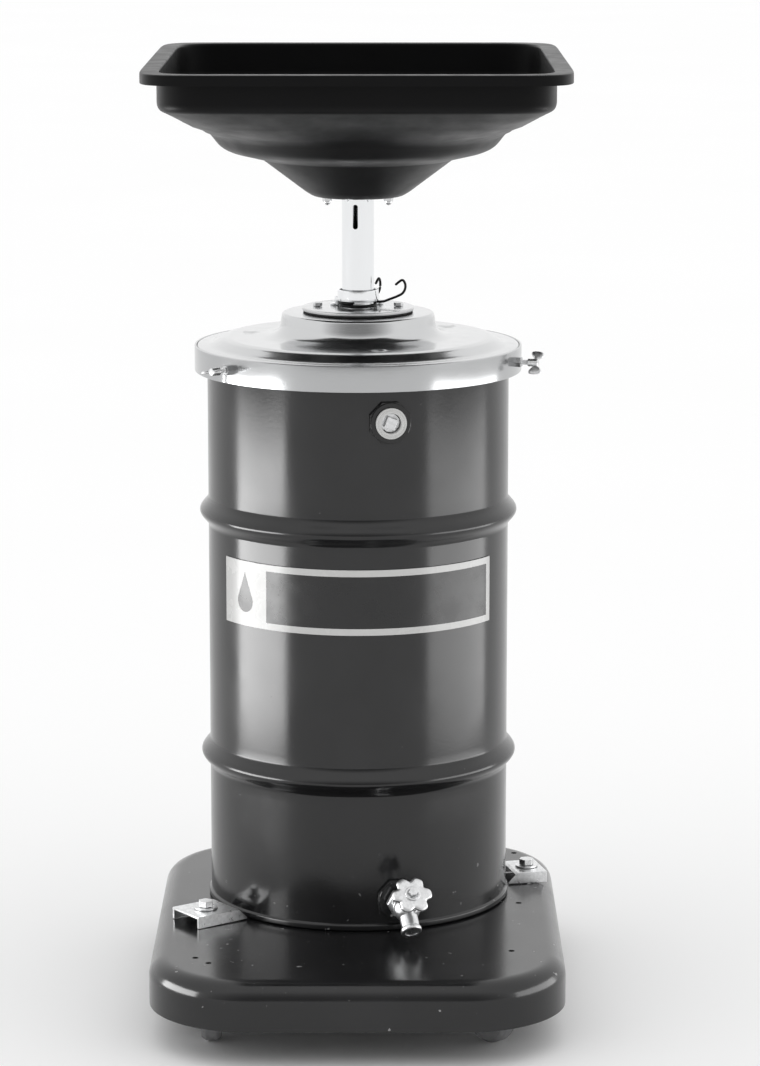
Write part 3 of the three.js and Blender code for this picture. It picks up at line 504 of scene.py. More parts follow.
def oxide_wire(name, tone):
    """Black oxide: dull, with brighter rubbed patches."""
    f = Finish(name)
    f.base(f.mixed(f.ranged(f.noise(160.0, 4.0), 0.55, 0.75, 0.0, 0.5), tone, (0.08, 0.08, 0.08, 1.0)))
    f.rough(f.ranged(f.noise(90.0), 0.3, 0.7, 0.3, 0.5))
    f.bump(f.noise(1400.0, 2.0), 0.1, 0.0001)
    f.shader.inputs["Metallic"].default_value = 0.7
    return f.material


def white_enamel(name, tone):
    """White enamel: slight yellowing and orange peel."""
    f = Finish(name)
    f.base(f.mixed(f.noise(40.0, 4.0), tone, shade(tone, 0.9)))
    f.rough(f.ranged(f.noise(60.0), 0.3, 0.7, 0.25, 0.4))
    f.bump(f.noise(500.0, 2.0), 0.1, 0.0002)
    return f.material


def label_film(name, white, field, width, height, border, block):
    """Printed film, on a map in metres: a white border and a white block at the left, the rest in the
    drum's colour, and a plain drop on the block. The drop is a disc with a wedge tapering to a point."""
    f = Finish(name)
    split = f.add("ShaderNodeSeparateXYZ")
    f.link(f.place.outputs["UV"], split.inputs[0])
    u = f.math("MULTIPLY", split.outputs["X"], width)
    v = f.math("MULTIPLY", split.outputs["Y"], height)
    from_side = f.math("MINIMUM", u, f.math("SUBTRACT", width, u))
    from_end = f.math("MINIMUM", v, f.math("SUBTRACT", height, v))
    edge = f.math("LESS_THAN", f.math("MINIMUM", from_side, from_end), border)
    white_area = f.math("MAXIMUM", edge, f.math("LESS_THAN", u, block))
    across = f.math("ABSOLUTE", f.math("SUBTRACT", u, block * 0.53))
    rise = f.math("SUBTRACT", v, height * 0.38)
    across_squared = f.math("POWER", across, 2.0)
    rise_squared = f.math("POWER", f.math("ABSOLUTE", rise), 2.0)
    reach = f.math("SQRT", f.math("ADD", across_squared, rise_squared))
    disc = f.math("LESS_THAN", reach, height * 0.17)
    taper = f.math("MULTIPLY", f.math("SUBTRACT", height * 0.46, rise), 0.40)
    wedge = f.math("MULTIPLY", f.math("LESS_THAN", across, taper),
                   f.math("GREATER_THAN", rise, height * 0.06))
    drop = f.math("MAXIMUM", disc, wedge)
    printed = f.math("MULTIPLY", white_area, f.math("SUBTRACT", 1.0, drop))
    aged = f.mixed(f.noise(60.0, 5.0), white, shade(white, 0.9))
    f.base(f.mixed(printed, field, aged))
    f.rough(f.ranged(f.noise(35.0), 0.3, 0.7, 0.2, 0.32))
    f.bump(f.noise(380.0, 2.0), 0.06, 0.0002)
    return f.material


FINISHES = {}


def make_finishes():
    FINISHES.update(
        drum=gloss_paint("drum_paint", colour("drum_paint")),
        boss=gloss_paint("boss_paint", colour("boss_paint")),
        bowl=moulded_plastic("bowl_plastic", colour("bowl_plastic")),
        plated=bright_plating("bright_plating", colour("plating")),
        band=bright_plating("band_plating", colour("band")),
        chrome=hard_chrome("hard_chrome", colour("chrome")),
        zinc=zinc_plating("zinc_plating", colour("zinc")),
        wire=oxide_wire("oxide_wire", colour("wire")),
        rubber=matt_rubber("gasket_rubber", colour("rubber")),
        tyre=matt_rubber("wheel_rubber", colour("tyre"), 0.55),
        white=white_enamel("white_enamel", colour("label_white")),
    )


# ---------------------------------------------------------------- pieces
ON_MAST = (MAST_X, MAST_Y, 0.0)


def prepared():
    """Makes the finishes on first use and hands over the sizes."""
    if not FINISHES:
        make_finishes()
    return sizes()


class RECEIVER_OT_bowl(bpy.types.Operator):
    """Drain bowl: squared rim and walls running into a round sump and a cone."""
    bl_idname = "receiver.bowl"
    bl_label = "Drain bowl"

    def execute(self, context):
        s = prepared()
        w, d = BOWL_HALF
        foot, rim = low("drain_bowl")[2], high("drain_bowl")[2]
        iw, id_ = w - s.bowl_flange - s.bowl_wall, d - s.bowl_flange - s.bowl_wall
        wall_foot = rim - 0.043 + s.bowl_wall
        sump_top, sump = wall_foot - 0.042, w - s.bowl_flange - 0.049 - 0.6 * s.bowl_wall
        floor = foot + s.bowl_wall
        square, hole = 12.0, MAST_BORE_R
        rows = [(w, d, rim - s.bowl_lip, square), (w, d, rim, square), (iw, id_, rim, square),
                (iw, id_, wall_foot, square), (iw - 0.027, id_ - 0.050, wall_foot - 0.021, 7.0)]
        for inset, fall in ((0, 0), (0.014, 0.018), (0.025, 0.0235), (0.046, 0.0285), (0.0625, 0.0325)):
            rows.append((sump - inset, sump - inset, sump_top - fall, 2.0))
        cone_foot = MAST_R + 0.042 - 0.6 * s.bowl_wall
        rows += [(cone_foot, cone_foot, floor + 0.0045, 2.0),
                 (cone_foot - 0.008, cone_foot - 0.008, floor, 2.0), (hole, hole, floor, 2.0)]
        radius = np.array([3.0, 3.5, 6.0, 10.0, 12.0, 8.0, 8.0, 6.0, 1.5, 5.0, 4.0]) / 1000
        rows = eased(rows, radius, 7)
        hx, hy, z, power = (rows[:, k, None] for k in range(4))
        t = np.linspace(0, TAU, 384, endpoint=False)[None]
        # Superellipse by its angle: r = (|cos t / hx|^p + |sin t / hy|^p)^(-1/p).
        r = (np.abs(np.cos(t) / hx) ** power + np.abs(np.sin(t) / hy) ** power) ** (-1 / power)
        points = np.stack([r * np.cos(t), r * np.sin(t), np.broadcast_to(z, r.shape)], -1)
        obj = surface("bowl", placed(points, ON_MAST))
        walled(obj, s.bowl_wall)
        fit_out(obj, FINISHES["bowl"], "black_plastic", "mast", "drain_bowl")
        return {"FINISHED"}


class RECEIVER_OT_mast(bpy.types.Operator):
    """Mast tube with its vent slot, and the flange it carries inside the bowl."""
    bl_idname = "receiver.mast"
    bl_label = "Mast"

    def execute(self, context):
        s = prepared()
        foot, top = low("mast_tube")[2], high("mast_tube")[2]
        slot_top = low("drain_bowl")[2] - 0.009
        slot = (slot_top - 0.029, slot_top)
        z = np.linspace(foot, top, 24)
        tube_piece = surface("mast", placed(turned(np.stack([np.full(24, MAST_R), z], -1), 120), ON_MAST))
        walled(tube_piece, s.mast_wall)
        # The slot is a stadium: two half circles of 3 mm, moved apart along the mast.
        t = np.linspace(0, TAU, 48, endpoint=False) + TAU / 96
        reach = (slot[1] - slot[0]) / 2 - 0.003
        stadium = np.stack([0.003 * np.cos(t), 0.003 * np.sin(t) + np.sign(np.sin(t)) * reach], -1)
        drill = bar(stadium, MAST_R - 2 * s.mast_wall, MAST_R + 0.004)
        pierced(tube_piece, [surface("drill", placed(drill, (MAST_X, MAST_Y, sum(slot) / 2), outwards(-9)))])
        fit_out(tube_piece, FINISHES["chrome"], "chrome", "mast", "mast_tube")
        flange = ring_profile(MAST_R + FIT, high("mast_head_flange")[0] - MAST_X,
                              low("mast_head_flange")[2], high("mast_head_flange")[2], 0.0008)
        fit_out(surface("head_flange", placed(turned(flange, MEDIUM), ON_MAST), closed_profile=True),
                FINISHES["chrome"], "chrome", "mast", "mast_head_flange")
        refinish("mast_stop_ring", FINISHES["zinc"])
        refinish("mast_wiper", FINISHES["rubber"])
        refinish("bowl_gasket", FINISHES["rubber"])
        refinish("drain_screen", FINISHES["zinc"], 0.0002)
        return {"FINISHED"}


class RECEIVER_OT_brake(bpy.types.Operator):
    """Brake on the lid: collar with its feet, and one wire with a coil and two hooked ends."""
    bl_idname = "receiver.brake"
    bl_label = "Mast brake"

    def execute(self, context):
        s = prepared()
        plate_top = high("mounting_plate")[2]
        top = high("mast_collar")[2]
        foot = top - 0.0134
        r = MAST_R + 0.0055
        profile = eased([(MAST_BORE_R, foot), (r, foot), (r, top), (MAST_R + 0.003, top),
                         (MAST_R + 0.003, top - 0.004), (MAST_BORE_R, top - 0.004),
                         (MAST_BORE_R, foot)], 0.0009, 5)[:-1]
        parts = [surface("ring", placed(turned(profile, MEDIUM), ON_MAST), closed_profile=True)]
        for azimuth in (-112, 124):
            out = outwards(azimuth)
            on_plate = plate_top + FIT
            leg = turned(eased([(0, on_plate), (0.0042, on_plate), (0.0042, foot + 0.004),
                                (0, foot + 0.004)], 0.0008), SMALL)
            pad = turned(eased([(0, on_plate), (0.0055, on_plate), (0.0055, on_plate + 0.002),
                                (0, on_plate + 0.002)], 0.0006), SMALL)
            parts.append(surface("leg", placed(leg, np.array(ON_MAST) + out * (r + 0.001))))
            parts.append(surface("pad", placed(pad, np.array(ON_MAST) + out * (r + 0.0054))))
        fit_out(joined("brake_collar", parts), FINISHES["chrome"], "chrome", "lid", "mast_collar")
        self.wire("brake_wire_coil", 152, (152 - 330, 152 - 8), plate_top + FIT + s.wire_radius, "lid",
                  "brake_coil", s)
        self.wire("brake_wire_end", 92, (92 + 250, 92 + 8), plate_top + 2 * FIT + 3 * s.wire_radius,
                  "brake_end", "brake_free_end", s)
        return {"FINISHED"}

    def wire(self, name, azimuth, coil, z, body, node, s):
        """The coil's turn at one height, then the hook: out, up, and back in at the tip. The hook's points
        are its reach past the mast's side and its rise, in millimetres."""
        turn = np.radians(np.linspace(*coil, 30))
        r = MAST_BORE_R + s.wire_radius
        ringed = np.stack([MAST_X + r * np.sin(turn), MAST_Y - r * np.cos(turn), np.full(30, z)], -1)
        hook = np.array([(10, 0), (19, 3), (28, 6.5), (34, 10),
                         (37, 16), (36.5, 22), (33, 25.5), (26, 20.5)]) / 1000
        out = outwards(azimuth)
        bent = np.array(ON_MAST) + out * (MAST_R + hook[:, :1])
        bent[:, 2] += z + hook[:, 1]
        obj = surface(name, tube(np.vstack([ringed, bent]), s.wire_radius, per_span=4))
        fit_out(obj, FINISHES["wire"], "spring_steel", body, node)


class RECEIVER_OT_lid(bpy.types.Operator):
    """Stamped lid with its plateau, dome and three pressed marks, and the plate on the dome."""
    bl_idname = "receiver.lid"
    bl_label = "Lid"

    def execute(self, context):
        s = prepared()
        edge = s.band_radius - s.band_wall - FIT
        dome, plateau = LID_R + 0.022, s.drum_radius - 0.021
        rim_top = high("lid_band")[2]
        plateau_top = rim_top + 0.010
        dome_top = plateau_top + 0.028
        profile = [(edge, rim_top - 0.007), (edge, rim_top), (edge - 0.016, rim_top + 0.001),
                   (plateau + 0.004, plateau_top - 0.0015), (plateau - 0.004, plateau_top),
                   (dome + 0.024, plateau_top), (dome + 0.011, plateau_top + 0.003),
                   (dome + 0.0045, plateau_top + 0.010), (dome + 0.002, dome_top), (MAST_R + 0.006, dome_top)]
        radius = np.array([2.0, 5.0, 2.5, 2.5, 8.0, 6.0, 6.0, 4.0]) / 1000
        profile = eased(profile, radius, 8)
        flat = np.linspace(plateau - 0.008, dome + 0.036, 30)
        outer = profile[profile[:, 0] >= plateau - 0.006]
        inner = profile[profile[:, 0] <= dome + 0.034]
        profile = np.vstack([outer, np.stack([flat, np.full(30, plateau_top)], -1), inner])
        points = turned(profile, 384)
        for azimuth in (-102, 11, 126):
            mark = outwards(azimuth) * (plateau - 0.026)
            away = np.hypot(points[..., 0] - mark[0], points[..., 1] - mark[1])
            # Each mark is a flat-topped bump: 1.2 mm high, fading out between 7 and 10 mm.
            fade = np.clip((0.010 - away) / 0.003, 0, 1)
            points[..., 2] += 0.0012 * fade * fade * (3 - 2 * fade)
        obj = surface("lid_pressing", placed(points, ON_MAST))
        walled(obj, s.lid_wall)
        fit_out(obj, FINISHES["plated"], "bright_plate", "lid", "lid")
        plate = ring_profile(MAST_BORE_R, LID_R, low("mounting_plate")[2],
                             high("mounting_plate")[2], 0.001)
        fit_out(surface("mast_plate", placed(turned(plate), ON_MAST), closed_profile=True),
                FINISHES["plated"], "bright_plate", "lid", "mounting_plate")
        for node in ("lid_gasket", "plate_gasket"):
            refinish(node, FINISHES["rubber"])
        refinish("guide_bush", FINISHES["zinc"])
        return {"FINISHED"}


class RECEIVER_OT_band(bpy.types.Operator):
    """Skirt band with its seam and three bosses, and the wing screws that clamp it."""
    bl_idname = "receiver.band"
    bl_label = "Band and wing screws"

    SCREWS = ((-49, 8), (71, 55), (191, 20))

    def execute(self, context):
        s = prepared()
        r, foot, top = s.band_radius, low("lid_band")[2], high("lid_band")[2]
        profile = eased([(r - s.band_wall, foot), (r, foot), (r, top), (r - s.band_wall, top),
                         (r - s.band_wall, foot)], 0.0009, 5)[:-1]
        points = turned(profile, 720)
        # The seam is a shallow upright groove, 2 degrees wide, on the outside of the band.
        around = np.degrees(np.arctan2(points[..., 0], -points[..., 1]))
        groove = np.clip(1 - np.abs(around + 52.5) / 0.6, 0, 1) * (np.hypot(*points[..., :2].T).T > r - 0.001)
        points[..., :2] *= (1 - 0.0006 * groove / r)[..., None]
        parts = [surface("strip", placed(points, ON_MAST), closed_profile=True)]
        screw_z = foot + 0.017
        for azimuth, _ in self.SCREWS:
            boss = prism(6, 0.011, r - 0.0012, r + 0.009)
            parts.append(surface("boss", placed(boss, (MAST_X, MAST_Y, screw_z), outwards(azimuth))))
        fit_out(joined("skirt_band", parts), FINISHES["band"], "bright_plate", "lid", "lid_band")
        for number, (azimuth, turn) in enumerate(self.SCREWS, 1):
            self.screw(number, azimuth, turn, screw_z, r, s)
        return {"FINISHED"}

    def screw(self, number, azimuth, turn, z, r, s):
        """A threaded shank whose radius follows a sine along it, a hub and two swelling wings."""
        tip, end = s.drum_radius + s.rim_bead + 0.0009, r + 0.035
        along = np.linspace(tip, end - 0.017, 150)
        thread = 0.0029 + 0.00018 * np.sin(along / 0.001 * TAU)
        shank = np.vstack([[(0, tip)], np.stack([thread, along], -1), [(0, end - 0.017)]])
        hub = eased([(0, end - 0.018), (0.0048, end - 0.018), (0.0044, end - 0.006), (0, end - 0.005)], 0.001)
        outline = np.array([(2.0, -1), (5, -1.5), (10.5, -5.5), (14, -5), (15, 0),
                            (14, 7), (11, 9.5), (7, 8), (4, 4), (1.5, 3)]) / 1000
        t = np.linspace(0, 1, 8, endpoint=False)[None, :, None]
        near, far = outline[:, None], np.roll(outline, -1, 0)[:, None]
        before, after = np.roll(outline, 1, 0)[:, None], np.roll(outline, -2, 0)[:, None]
        smooth = 0.5 * (2 * near + (far - before) * t + (2 * before - 5 * near + 4 * far - after) * t ** 2
                        + (3 * near - before - 3 * far + after) * t ** 3)
        wing = pillow(smooth.reshape(-1, 2), 0.0034, 0.35)
        parts = []
        here = (MAST_X, MAST_Y, z)
        for points in (turned(shank, 32), turned(hub, 32)):
            parts.append(surface("turned", placed(points, here, outwards(azimuth), turn)))
        upright = np.stack([wing[..., 0], -wing[..., 2], wing[..., 1] + end - 0.010], -1)
        for half_turn in (0, 180):
            parts.append(surface("wing", placed(upright, here, outwards(azimuth), turn + half_turn)))
        fit_out(joined(f"wing_screw_piece_{number}", parts), FINISHES["zinc"], "bright_plate",
                f"wing_{number}", f"wing_screw_{number}")


class RECEIVER_OT_drum(bpy.types.Operator):
    """Drum with its rolled rim, two rolling hoops and foot bead."""
    bl_idname = "receiver.drum"
    bl_label = "Drum"

    HOOPS = (0.179, 0.4735)

    def execute(self, context):
        s = prepared()
        across = np.linspace(-s.hoop_half, s.hoop_half, 37)
        z = np.unique(np.concatenate([np.linspace(DRUM_FOOT + 0.011, DRUM_TOP - 2.2 * s.rim_bead, 24),
                                      *(DRUM_FOOT + height + across for height in self.HOOPS)]))
        r = np.full(z.shape, s.drum_radius)
        for height in self.HOOPS:
            # A hoop rises as the square of a cosine, from its foot to its crest.
            share = np.clip((z - DRUM_FOOT - height) / s.hoop_half, -1, 1)
            r = r + s.hoop_rise * np.cos(share * math.pi / 2) ** 2
        foot = eased([(s.drum_radius, DRUM_FOOT), (s.drum_radius + 0.0025, DRUM_FOOT + 0.0015),
                      (s.drum_radius + 0.0025, DRUM_FOOT + 0.007), (s.drum_radius, DRUM_FOOT + 0.009)], 0.001)
        a = np.linspace(-math.pi / 2, math.pi / 2, 14)
        bead = np.stack([s.drum_radius + s.rim_bead * np.cos(a),
                         DRUM_TOP - s.rim_bead + s.rim_bead * np.sin(a)], -1)
        profile = np.vstack([foot, np.stack([r, z], -1), bead])
        obj = surface("drum", placed(turned(profile, 256), ON_MAST))
        walled(obj, s.drum_wall)
        fit_out(obj, FINISHES["drum"], "dark_paint", "base", "drum_shell")
        refinish("drum_bottom", FINISHES["drum"])
        return {"FINISHED"}


class RECEIVER_OT_label(bpy.types.Operator):
    """Blank label that follows the drum, with a plain drop on it."""
    bl_idname = "receiver.label"
    bl_label = "Label"

    HALF = 59.0

    def execute(self, context):
        s = prepared()
        foot, top = low("label_panel")[2], high("label_panel")[2]
        inner = s.drum_radius + 0.0008
        a = np.radians(np.linspace(-self.HALF, self.HALF, 97))
        z = np.linspace(foot, top, 9)
        r = inner + 0.0008
        points = np.stack([np.broadcast_to(MAST_X + r * np.sin(a), (9, 97)),
                           np.broadcast_to(MAST_Y - r * np.cos(a), (9, 97)),
                           np.broadcast_to(z[:, None], (9, 97))], -1)
        obj = surface("label", points, round_rows=False)
        mesh = obj.data
        spots = np.empty(len(mesh.vertices) * 3)
        mesh.vertices.foreach_get("co", spots)
        spots = spots.reshape(-1, 3)
        u = (np.degrees(np.arctan2(spots[:, 0] - MAST_X, MAST_Y - spots[:, 1])) + self.HALF) / (2 * self.HALF)
        v = (spots[:, 2] - foot) / (top - foot)
        corners = np.empty(len(mesh.loops), dtype=np.int32)
        mesh.loops.foreach_get("vertex_index", corners)
        layer = mesh.uv_layers.new(name="print")
        layer.data.foreach_set("uv", np.stack([u, v], -1)[corners].ravel())
        walled(obj, 0.0008)
        width = math.radians(2 * self.HALF) * r
        film = label_film("label_print", colour("label_white"), shade(colour("drum_paint"), 1.1),
                          width, top - foot, s.label_border, 0.072)
        fit_out(obj, film, "label_film", "base", "label_panel")
        return {"FINISHED"}


class RECEIVER_OT_side_port(bpy.types.Operator):
    """Octagonal boss with its white ring and square-headed plug."""
    bl_idname = "receiver.side_port"
    bl_label = "Side port"

    def execute(self, context):
        s = prepared()
        face = s.drum_radius + 0.006
        here = (MAST_X, MAST_Y, middle("side_ring")[2])
        profile = [(0.0118, face - 0.012), (0.0146, face - 0.012), (0.0146, face + FIT),
                   (0.018, face + FIT), (0.018, face + 0.0038), (0.0165, face + 0.0038),
                   (0.0155, face + 0.0028), (0.0142, face + 0.0038), (0.0118, face + 0.0038),
                   (0.0118, face - 0.012)]
        ring = turned(eased(profile, 0.0005, 5)[:-1], MEDIUM)
        fit_out(surface("port_ring", placed(ring, here, outwards(12)), closed_profile=True),
                FINISHES["white"], "white_ring", "base", "side_ring")
        refinish("side_boss", FINISHES["boss"], 0.0012)
        refinish("side_plug", FINISHES["zinc"], 0.0005)
        return {"FINISHED"}


class RECEIVER_OT_tap(bpy.types.Operator):
    """Drain tap: body with its ball, bonnet and beaded spout, packing nut, stem and lobed handle."""
    bl_idname = "receiver.tap"
    bl_label = "Tap"

    AZIMUTH = 15

    def execute(self, context):
        s = prepared()
        seat = s.drum_radius
        out = outwards(self.AZIMUTH)
        port = np.array([MAST_X, MAST_Y, DRUM_FOOT + 0.0376])
        ball = port + out * (seat + 0.042)
        up, down = out + np.array([0, 0, 1.0]), out - np.array([0, 0, 1.0])
        a = np.linspace(-math.pi / 2, math.pi / 2, 24)
        sphere = np.stack([0.0155 * np.cos(a), 0.0155 * np.sin(a)], -1)
        stub = eased([(0, seat - 0.004), (0.0121, seat - 0.004), (0.0121, seat + 0.014),
                      (0, seat + 0.014)], 0.0006)
        barrel = eased([(0, seat + 0.018), (0.013, seat + 0.018), (0.0148, seat + 0.036),
                        (0, seat + 0.042)], 0.001)
        bonnet = eased([(0, 0), (0.0115, 0), (0.0115, 0.016), (0, 0.016)], 0.001)
        spout = eased([(0.0075, 0.006), (0.0105, 0.006), (0.0105, 0.0252), (0.0122, 0.027), (0.0122, 0.0302),
                       (0.0110, 0.0315), (0.0075, 0.0315), (0.0075, 0.006)], 0.0009, 5)[:-1]
        parts = [
            surface("stub", placed(turned(stub, MEDIUM), port, out)),
            surface("nut", placed(prism(6, 0.030, seat + 0.012, seat + 0.020, 0.0012), port, out)),
            surface("barrel", placed(turned(barrel, MEDIUM), port, out)),
            surface("ball", placed(turned(sphere, MEDIUM), ball, out)),
            surface("bonnet", placed(turned(bonnet, MEDIUM), ball, up)),
            surface("spout", placed(turned(spout, MEDIUM), ball, down), closed_profile=True),
        ]
        fit_out(joined("tap", parts), FINISHES["zinc"], "zinc", "base", "tap_body")
        refinish("tap_packing_nut", FINISHES["zinc"], 0.0006)
        refinish("tap_stem", FINISHES["zinc"])
        refinish("drain_boss", FINISHES["drum"], 0.0007)
        self.handle(ball, up)
        return {"FINISHED"}

    def handle(self, ball, up):
        """Six broad lobes: r = 23.8 mm less 5.5 mm times the square of (1 - cos 6t) / 2, on a dished hub."""
        t = np.linspace(0, TAU, 240, endpoint=False)
        r = 0.0238 - 0.0055 * ((1 - np.cos(6 * t)) / 2) ** 2
        lobes = pillow(np.stack([r * np.cos(t), r * np.sin(t)], -1), 0.0072, 0.22)
        lobes[..., 2] += 0.032
        hub = turned(eased([(0, 0.027), (0.0105, 0.027), (0.009, 0.0376), (0.0065, 0.0376), (0.0055, 0.0366),
                            (0, 0.0366)], 0.0007), SMALL)
        parts = [surface("lobes", placed(lobes, ball, up)), surface("hub", placed(hub, ball, up))]
        fit_out(joined("tap_handle_piece", parts), FINISHES["zinc"], "zinc", "tap_handle", "tap_handwheel")


class RECEIVER_OT_deck(bpy.types.Operator):
    """Dolly: one pressed sheet with round corners, a rolled top edge and a skirt, and five spare holes."""
    bl_idname = "receiver.deck"
    bl_label = "Dolly deck"

    HOLES = ((0.054, 0.105, "front"), (0.070, 0.085, "front"), (-0.062, 0.132, "front"),
             (-0.045, 0.067, "back"), (-0.047, 0.289, "back"))

    def execute(self, context):
        s = prepared()
        half, centre = (DECK_HIGH - DECK_LOW)[:2] / 2, (DECK_HIGH + DECK_LOW)[:2] / 2
        foot, top, e = DECK_LOW[2], DECK_HIGH[2], s.deck_edge
        q = np.linspace(0, math.pi / 2, 14)
        inset = np.concatenate([[0, 0, 0], e * (1 - np.cos(q)), [e + 0.003, e + 0.02, e + 0.06]])
        z = np.concatenate([[foot, foot + 0.002, top - e - 0.003], top - e + e * np.sin(q), [top, top, top]])
        t = np.linspace(0, TAU, 256, endpoint=False) + TAU / 512
        # Rounded rectangle: a corner's centre plus the corner's radius in the direction t.
        r = (s.deck_corner - inset)[:, None]
        x = centre[0] + np.sign(np.cos(t)) * (half[0] - s.deck_corner) + r * np.cos(t)
        y = centre[1] + np.sign(np.sin(t)) * (half[1] - s.deck_corner) + r * np.sin(t)
        rows = np.stack([x, y, np.broadcast_to(z[:, None], x.shape)], -1)
        pole = np.broadcast_to([centre[0], centre[1], top], (1, 256, 3))
        obj = surface("deck", np.concatenate([rows, pole]))
        walled(obj, s.deck_sheet)
        pierced(obj, [self.drill(top, *hole) for hole in self.HOLES])
        fit_out(obj, FINISHES["drum"], "dark_paint", "base", "dolly_deck")
        return {"FINISHED"}

    def drill(self, top, x, y, end):
        """A rod through the sheet, counted in from the left or right edge and from the front or back one."""
        px = DECK_LOW[0] + x if x > 0 else DECK_HIGH[0] + x
        py = DECK_LOW[1] + y if end == "front" else DECK_HIGH[1] - y
        rod = [(0, top - 0.01), (0.0036, top - 0.01), (0.0036, top + 0.005), (0, top + 0.005)]
        return surface("drill", placed(turned(rod, 32), (px, py, 0)))


class RECEIVER_OT_clips(bpy.types.Operator):
    """Two clips that hold the drum's foot, each under a washer and a hex bolt."""
    bl_idname = "receiver.clips"
    bl_label = "Drum clips"

    def execute(self, context):
        prepared()
        for number in (1, 2):
            refinish(f"drum_clip_{number}", FINISHES["zinc"], 0.0007)
            refinish(f"clip_bolt_{number}", FINISHES["zinc"], 0.0006)
            node = f"clip_washer_{number}"
            r = float(high(node)[0] - low(node)[0]) / 2
            x, y = middle(node)[:2]
            washer = ring_profile(0.0054, r, low(node)[2], high(node)[2], 0.0005)
            disc = placed(turned(washer, SMALL), (x, y, 0))
            fit_out(surface(f"washer_{number}", disc, closed_profile=True),
                    FINISHES["zinc"], "zinc", "base", node)
        return {"FINISHED"}


class RECEIVER_OT_casters(bpy.types.Operator):
    """Four casters: plate, fork and a wheel with a raised tread."""
    bl_idname = "receiver.casters"
    bl_label = "Casters"

    HALF_WIDTH = 0.012

    def execute(self, context):
        prepared()
        rolls = {j["child"]: j for j in frame["joints"] if j["name"].startswith("roll_")}
        for number in range(1, 5):
            refinish(f"caster_plate_{number}", FINISHES["zinc"])
            refinish(f"caster_fork_{number}", FINISHES["zinc"])
            node = f"caster_wheel_{number}"
            roll = rolls[f"caster_roll_{number}"]
            r, h = float(high(node)[2] - low(node)[2]) / 2, self.HALF_WIDTH
            outline = [(0.0045, -h), (0.013, -h), (0.014, -h + 0.0015), (r - 0.0085, -h + 0.0025),
                       (r - 0.0045, -h), (r, -h + 0.006), (r, h - 0.006), (r - 0.0045, h),
                       (r - 0.0085, h - 0.0025), (0.014, h - 0.0015), (0.013, h), (0.0045, h),
                       (0.0045, -h)]
            wheel = turned(eased(outline, 0.0015, 5)[:-1], MEDIUM)
            wheel = placed(wheel, roll["pos_m"], roll["axis"])
            fit_out(surface(f"wheel_{number}", wheel, closed_profile=True),
                    FINISHES["tyre"], "wheel_grey", f"caster_roll_{number}", node)
        return {"FINISHED"}


class RECEIVER_OT_fasteners(bpy.types.Operator):
    """Bolts of the bowl and the plate, and the bowl's cap nuts."""
    bl_idname = "receiver.fasteners"
    bl_label = "Fasteners"

    def execute(self, context):
        prepared()
        for node in [n for n in frame["nodes"] if n.startswith(("bowl_bolt", "cap_nut", "plate_bolt"))]:
            refinish(node, FINISHES["zinc"], 0.0004)
        return {"FINISHED"}


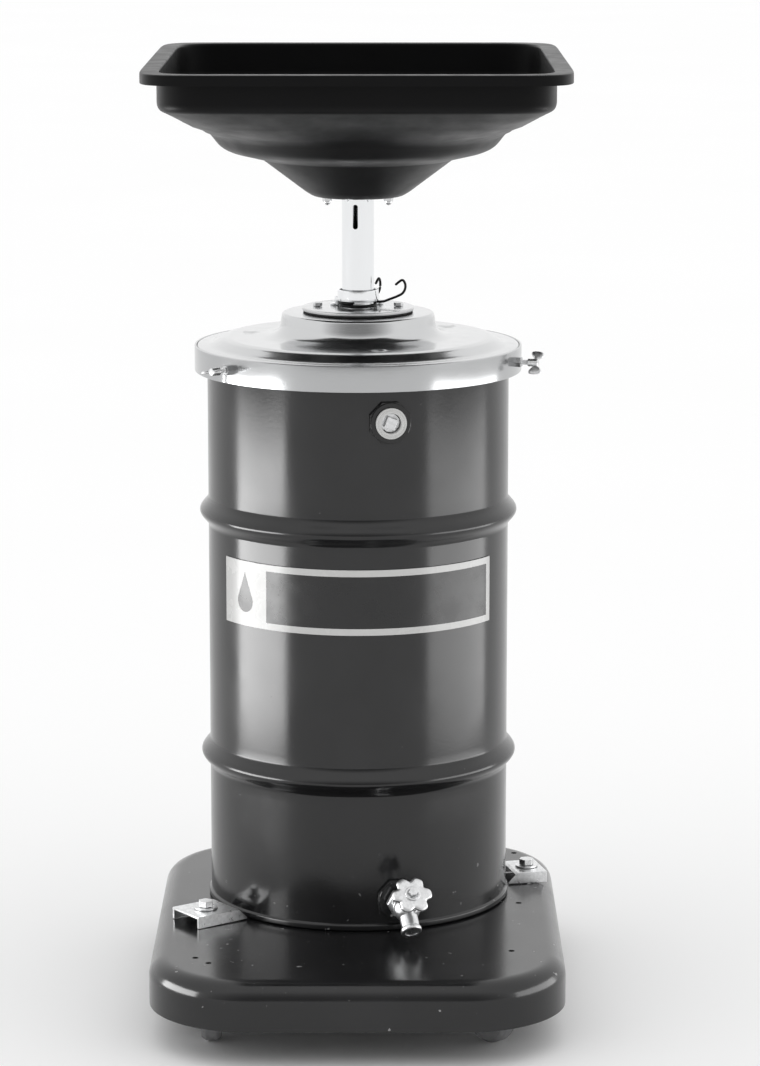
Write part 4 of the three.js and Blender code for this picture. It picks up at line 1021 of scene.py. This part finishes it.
class RECEIVER_OT_stage(bpy.types.Operator):
    """Pale floor, soft lights and the camera."""
    bl_idname = "receiver.stage"
    bl_label = "Stage"

    FLOOR_HALF = 60.0
    EYE_ASIDE, EYE_BACK, EYE_HEIGHT, EYE_DOWN = 0.026, 4.5, 1.407, 10.9
    LENS, SENSOR = 129.1, 36.0
    LAMP_AWAY, LAMP_HEIGHT = 1.3, 0.255
    LAMPS = (("left_strip", -76, (1.08, 0.48), 17.0), ("right_wash", 80, (1.40, 0.48), 7.0))

    def execute(self, context):
        prepared()
        scene = bpy.context.scene
        reach = self.FLOOR_HALF
        corners = np.array([[(-reach, -reach, 0), (reach, -reach, 0)],
                            [(-reach, reach, 0), (reach, reach, 0)]])
        floor = surface("floor", corners, round_rows=False)
        f = Finish("pale_floor")
        f.base(f.mixed(f.noise(0.8, 2.0), (0.93, 0.93, 0.93, 1.0), (0.95, 0.95, 0.95, 1.0)))
        f.rough(f.ranged(f.noise(3.0), 0.3, 0.7, 0.75, 0.85))
        f.shader.inputs["Specular IOR Level"].default_value = 0.0
        floor.data.materials.append(f.material)
        self.surround(scene)
        for name, azimuth, size, power in self.LAMPS:
            self.light(name, azimuth, size, power)
        camera = bpy.data.cameras.new("camera")
        camera.sensor_fit = "VERTICAL"
        camera.sensor_height = self.SENSOR
        camera.lens = self.LENS
        camera.clip_end = 200.0
        holder = bpy.data.objects.new("camera", camera)
        holder.location = (MAST_X + self.EYE_ASIDE, MAST_Y - self.EYE_BACK, self.EYE_HEIGHT)
        holder.rotation_euler = (math.radians(90 - self.EYE_DOWN), 0, 0)
        scene.collection.objects.link(holder)
        scene.camera = holder
        scene.view_settings.view_transform = "Standard"
        return {"FINISHED"}

    def surround(self, scene):
        """A white studio, dimmer in a patch level with the object in front of it."""
        world = bpy.data.worlds.new("studio")
        scene.world = world
        world.use_nodes = True
        tree = world.node_tree
        place, split = tree.nodes.new("ShaderNodeTexCoord"), tree.nodes.new("ShaderNodeSeparateXYZ")
        dim = tree.nodes.new("ShaderNodeMapRange")
        for key, number in (("From Min", -0.95), ("From Max", -0.55), ("To Min", 0.30), ("To Max", 1.12)):
            dim.inputs[key].default_value = number
        tree.links.new(place.outputs["Generated"], split.inputs[0])
        tree.links.new(split.outputs["Y"], dim.inputs["Value"])
        tree.nodes["Background"].inputs["Color"].default_value = (1, 1, 1, 1)
        tree.links.new(dim.outputs[0], tree.nodes["Background"].inputs["Strength"])

    def light(self, name, azimuth, size, power):
        """An upright panel that shows only in reflections."""
        lamp = bpy.data.lights.new(name, "AREA")
        lamp.shape = "RECTANGLE"
        lamp.size, lamp.size_y = size
        lamp.energy = power
        obj = bpy.data.objects.new(name, lamp)
        obj.location = np.array([MAST_X, MAST_Y, self.LAMP_HEIGHT]) + outwards(azimuth) * self.LAMP_AWAY
        obj.rotation_euler = Vector(-outwards(azimuth)).to_track_quat("-Z", "Y").to_euler()
        obj.visible_camera = False
        obj.visible_diffuse = False
        bpy.context.scene.collection.objects.link(obj)


BUILDERS = (RECEIVER_OT_bowl, RECEIVER_OT_mast, RECEIVER_OT_brake, RECEIVER_OT_lid, RECEIVER_OT_band,
            RECEIVER_OT_drum, RECEIVER_OT_label, RECEIVER_OT_side_port, RECEIVER_OT_tap, RECEIVER_OT_deck,
            RECEIVER_OT_clips, RECEIVER_OT_casters, RECEIVER_OT_fasteners, RECEIVER_OT_stage)


class RECEIVER_PT_panel(bpy.types.Panel):
    """Lists the receiver's pieces, sizes and colours."""
    bl_idname = "RECEIVER_PT_panel"
    bl_label = "Oil drain receiver"
    bl_space_type = "VIEW_3D"
    bl_region_type = "UI"
    bl_category = "Receiver"

    def draw(self, context):
        for builder in BUILDERS:
            self.layout.operator(builder.bl_idname)
        for group in (context.scene.receiver_sizes, context.scene.receiver_colours):
            for name in group.__annotations__:
                self.layout.prop(group, name)


CLASSES = (ReceiverSizes, ReceiverColours, *BUILDERS, RECEIVER_PT_panel)


def register():
    for cls in CLASSES:
        bpy.utils.register_class(cls)
    bpy.types.Scene.receiver_sizes = bpy.props.PointerProperty(type=ReceiverSizes)
    bpy.types.Scene.receiver_colours = bpy.props.PointerProperty(type=ReceiverColours)


def unregister():
    del bpy.types.Scene.receiver_colours
    del bpy.types.Scene.receiver_sizes
    for cls in reversed(CLASSES):
        bpy.utils.unregister_class(cls)


def main():
    register()
    for builder in BUILDERS:
        group, name = builder.bl_idname.split(".")
        getattr(getattr(bpy.ops, group), name)()


if __name__ == "__main__":
    main()
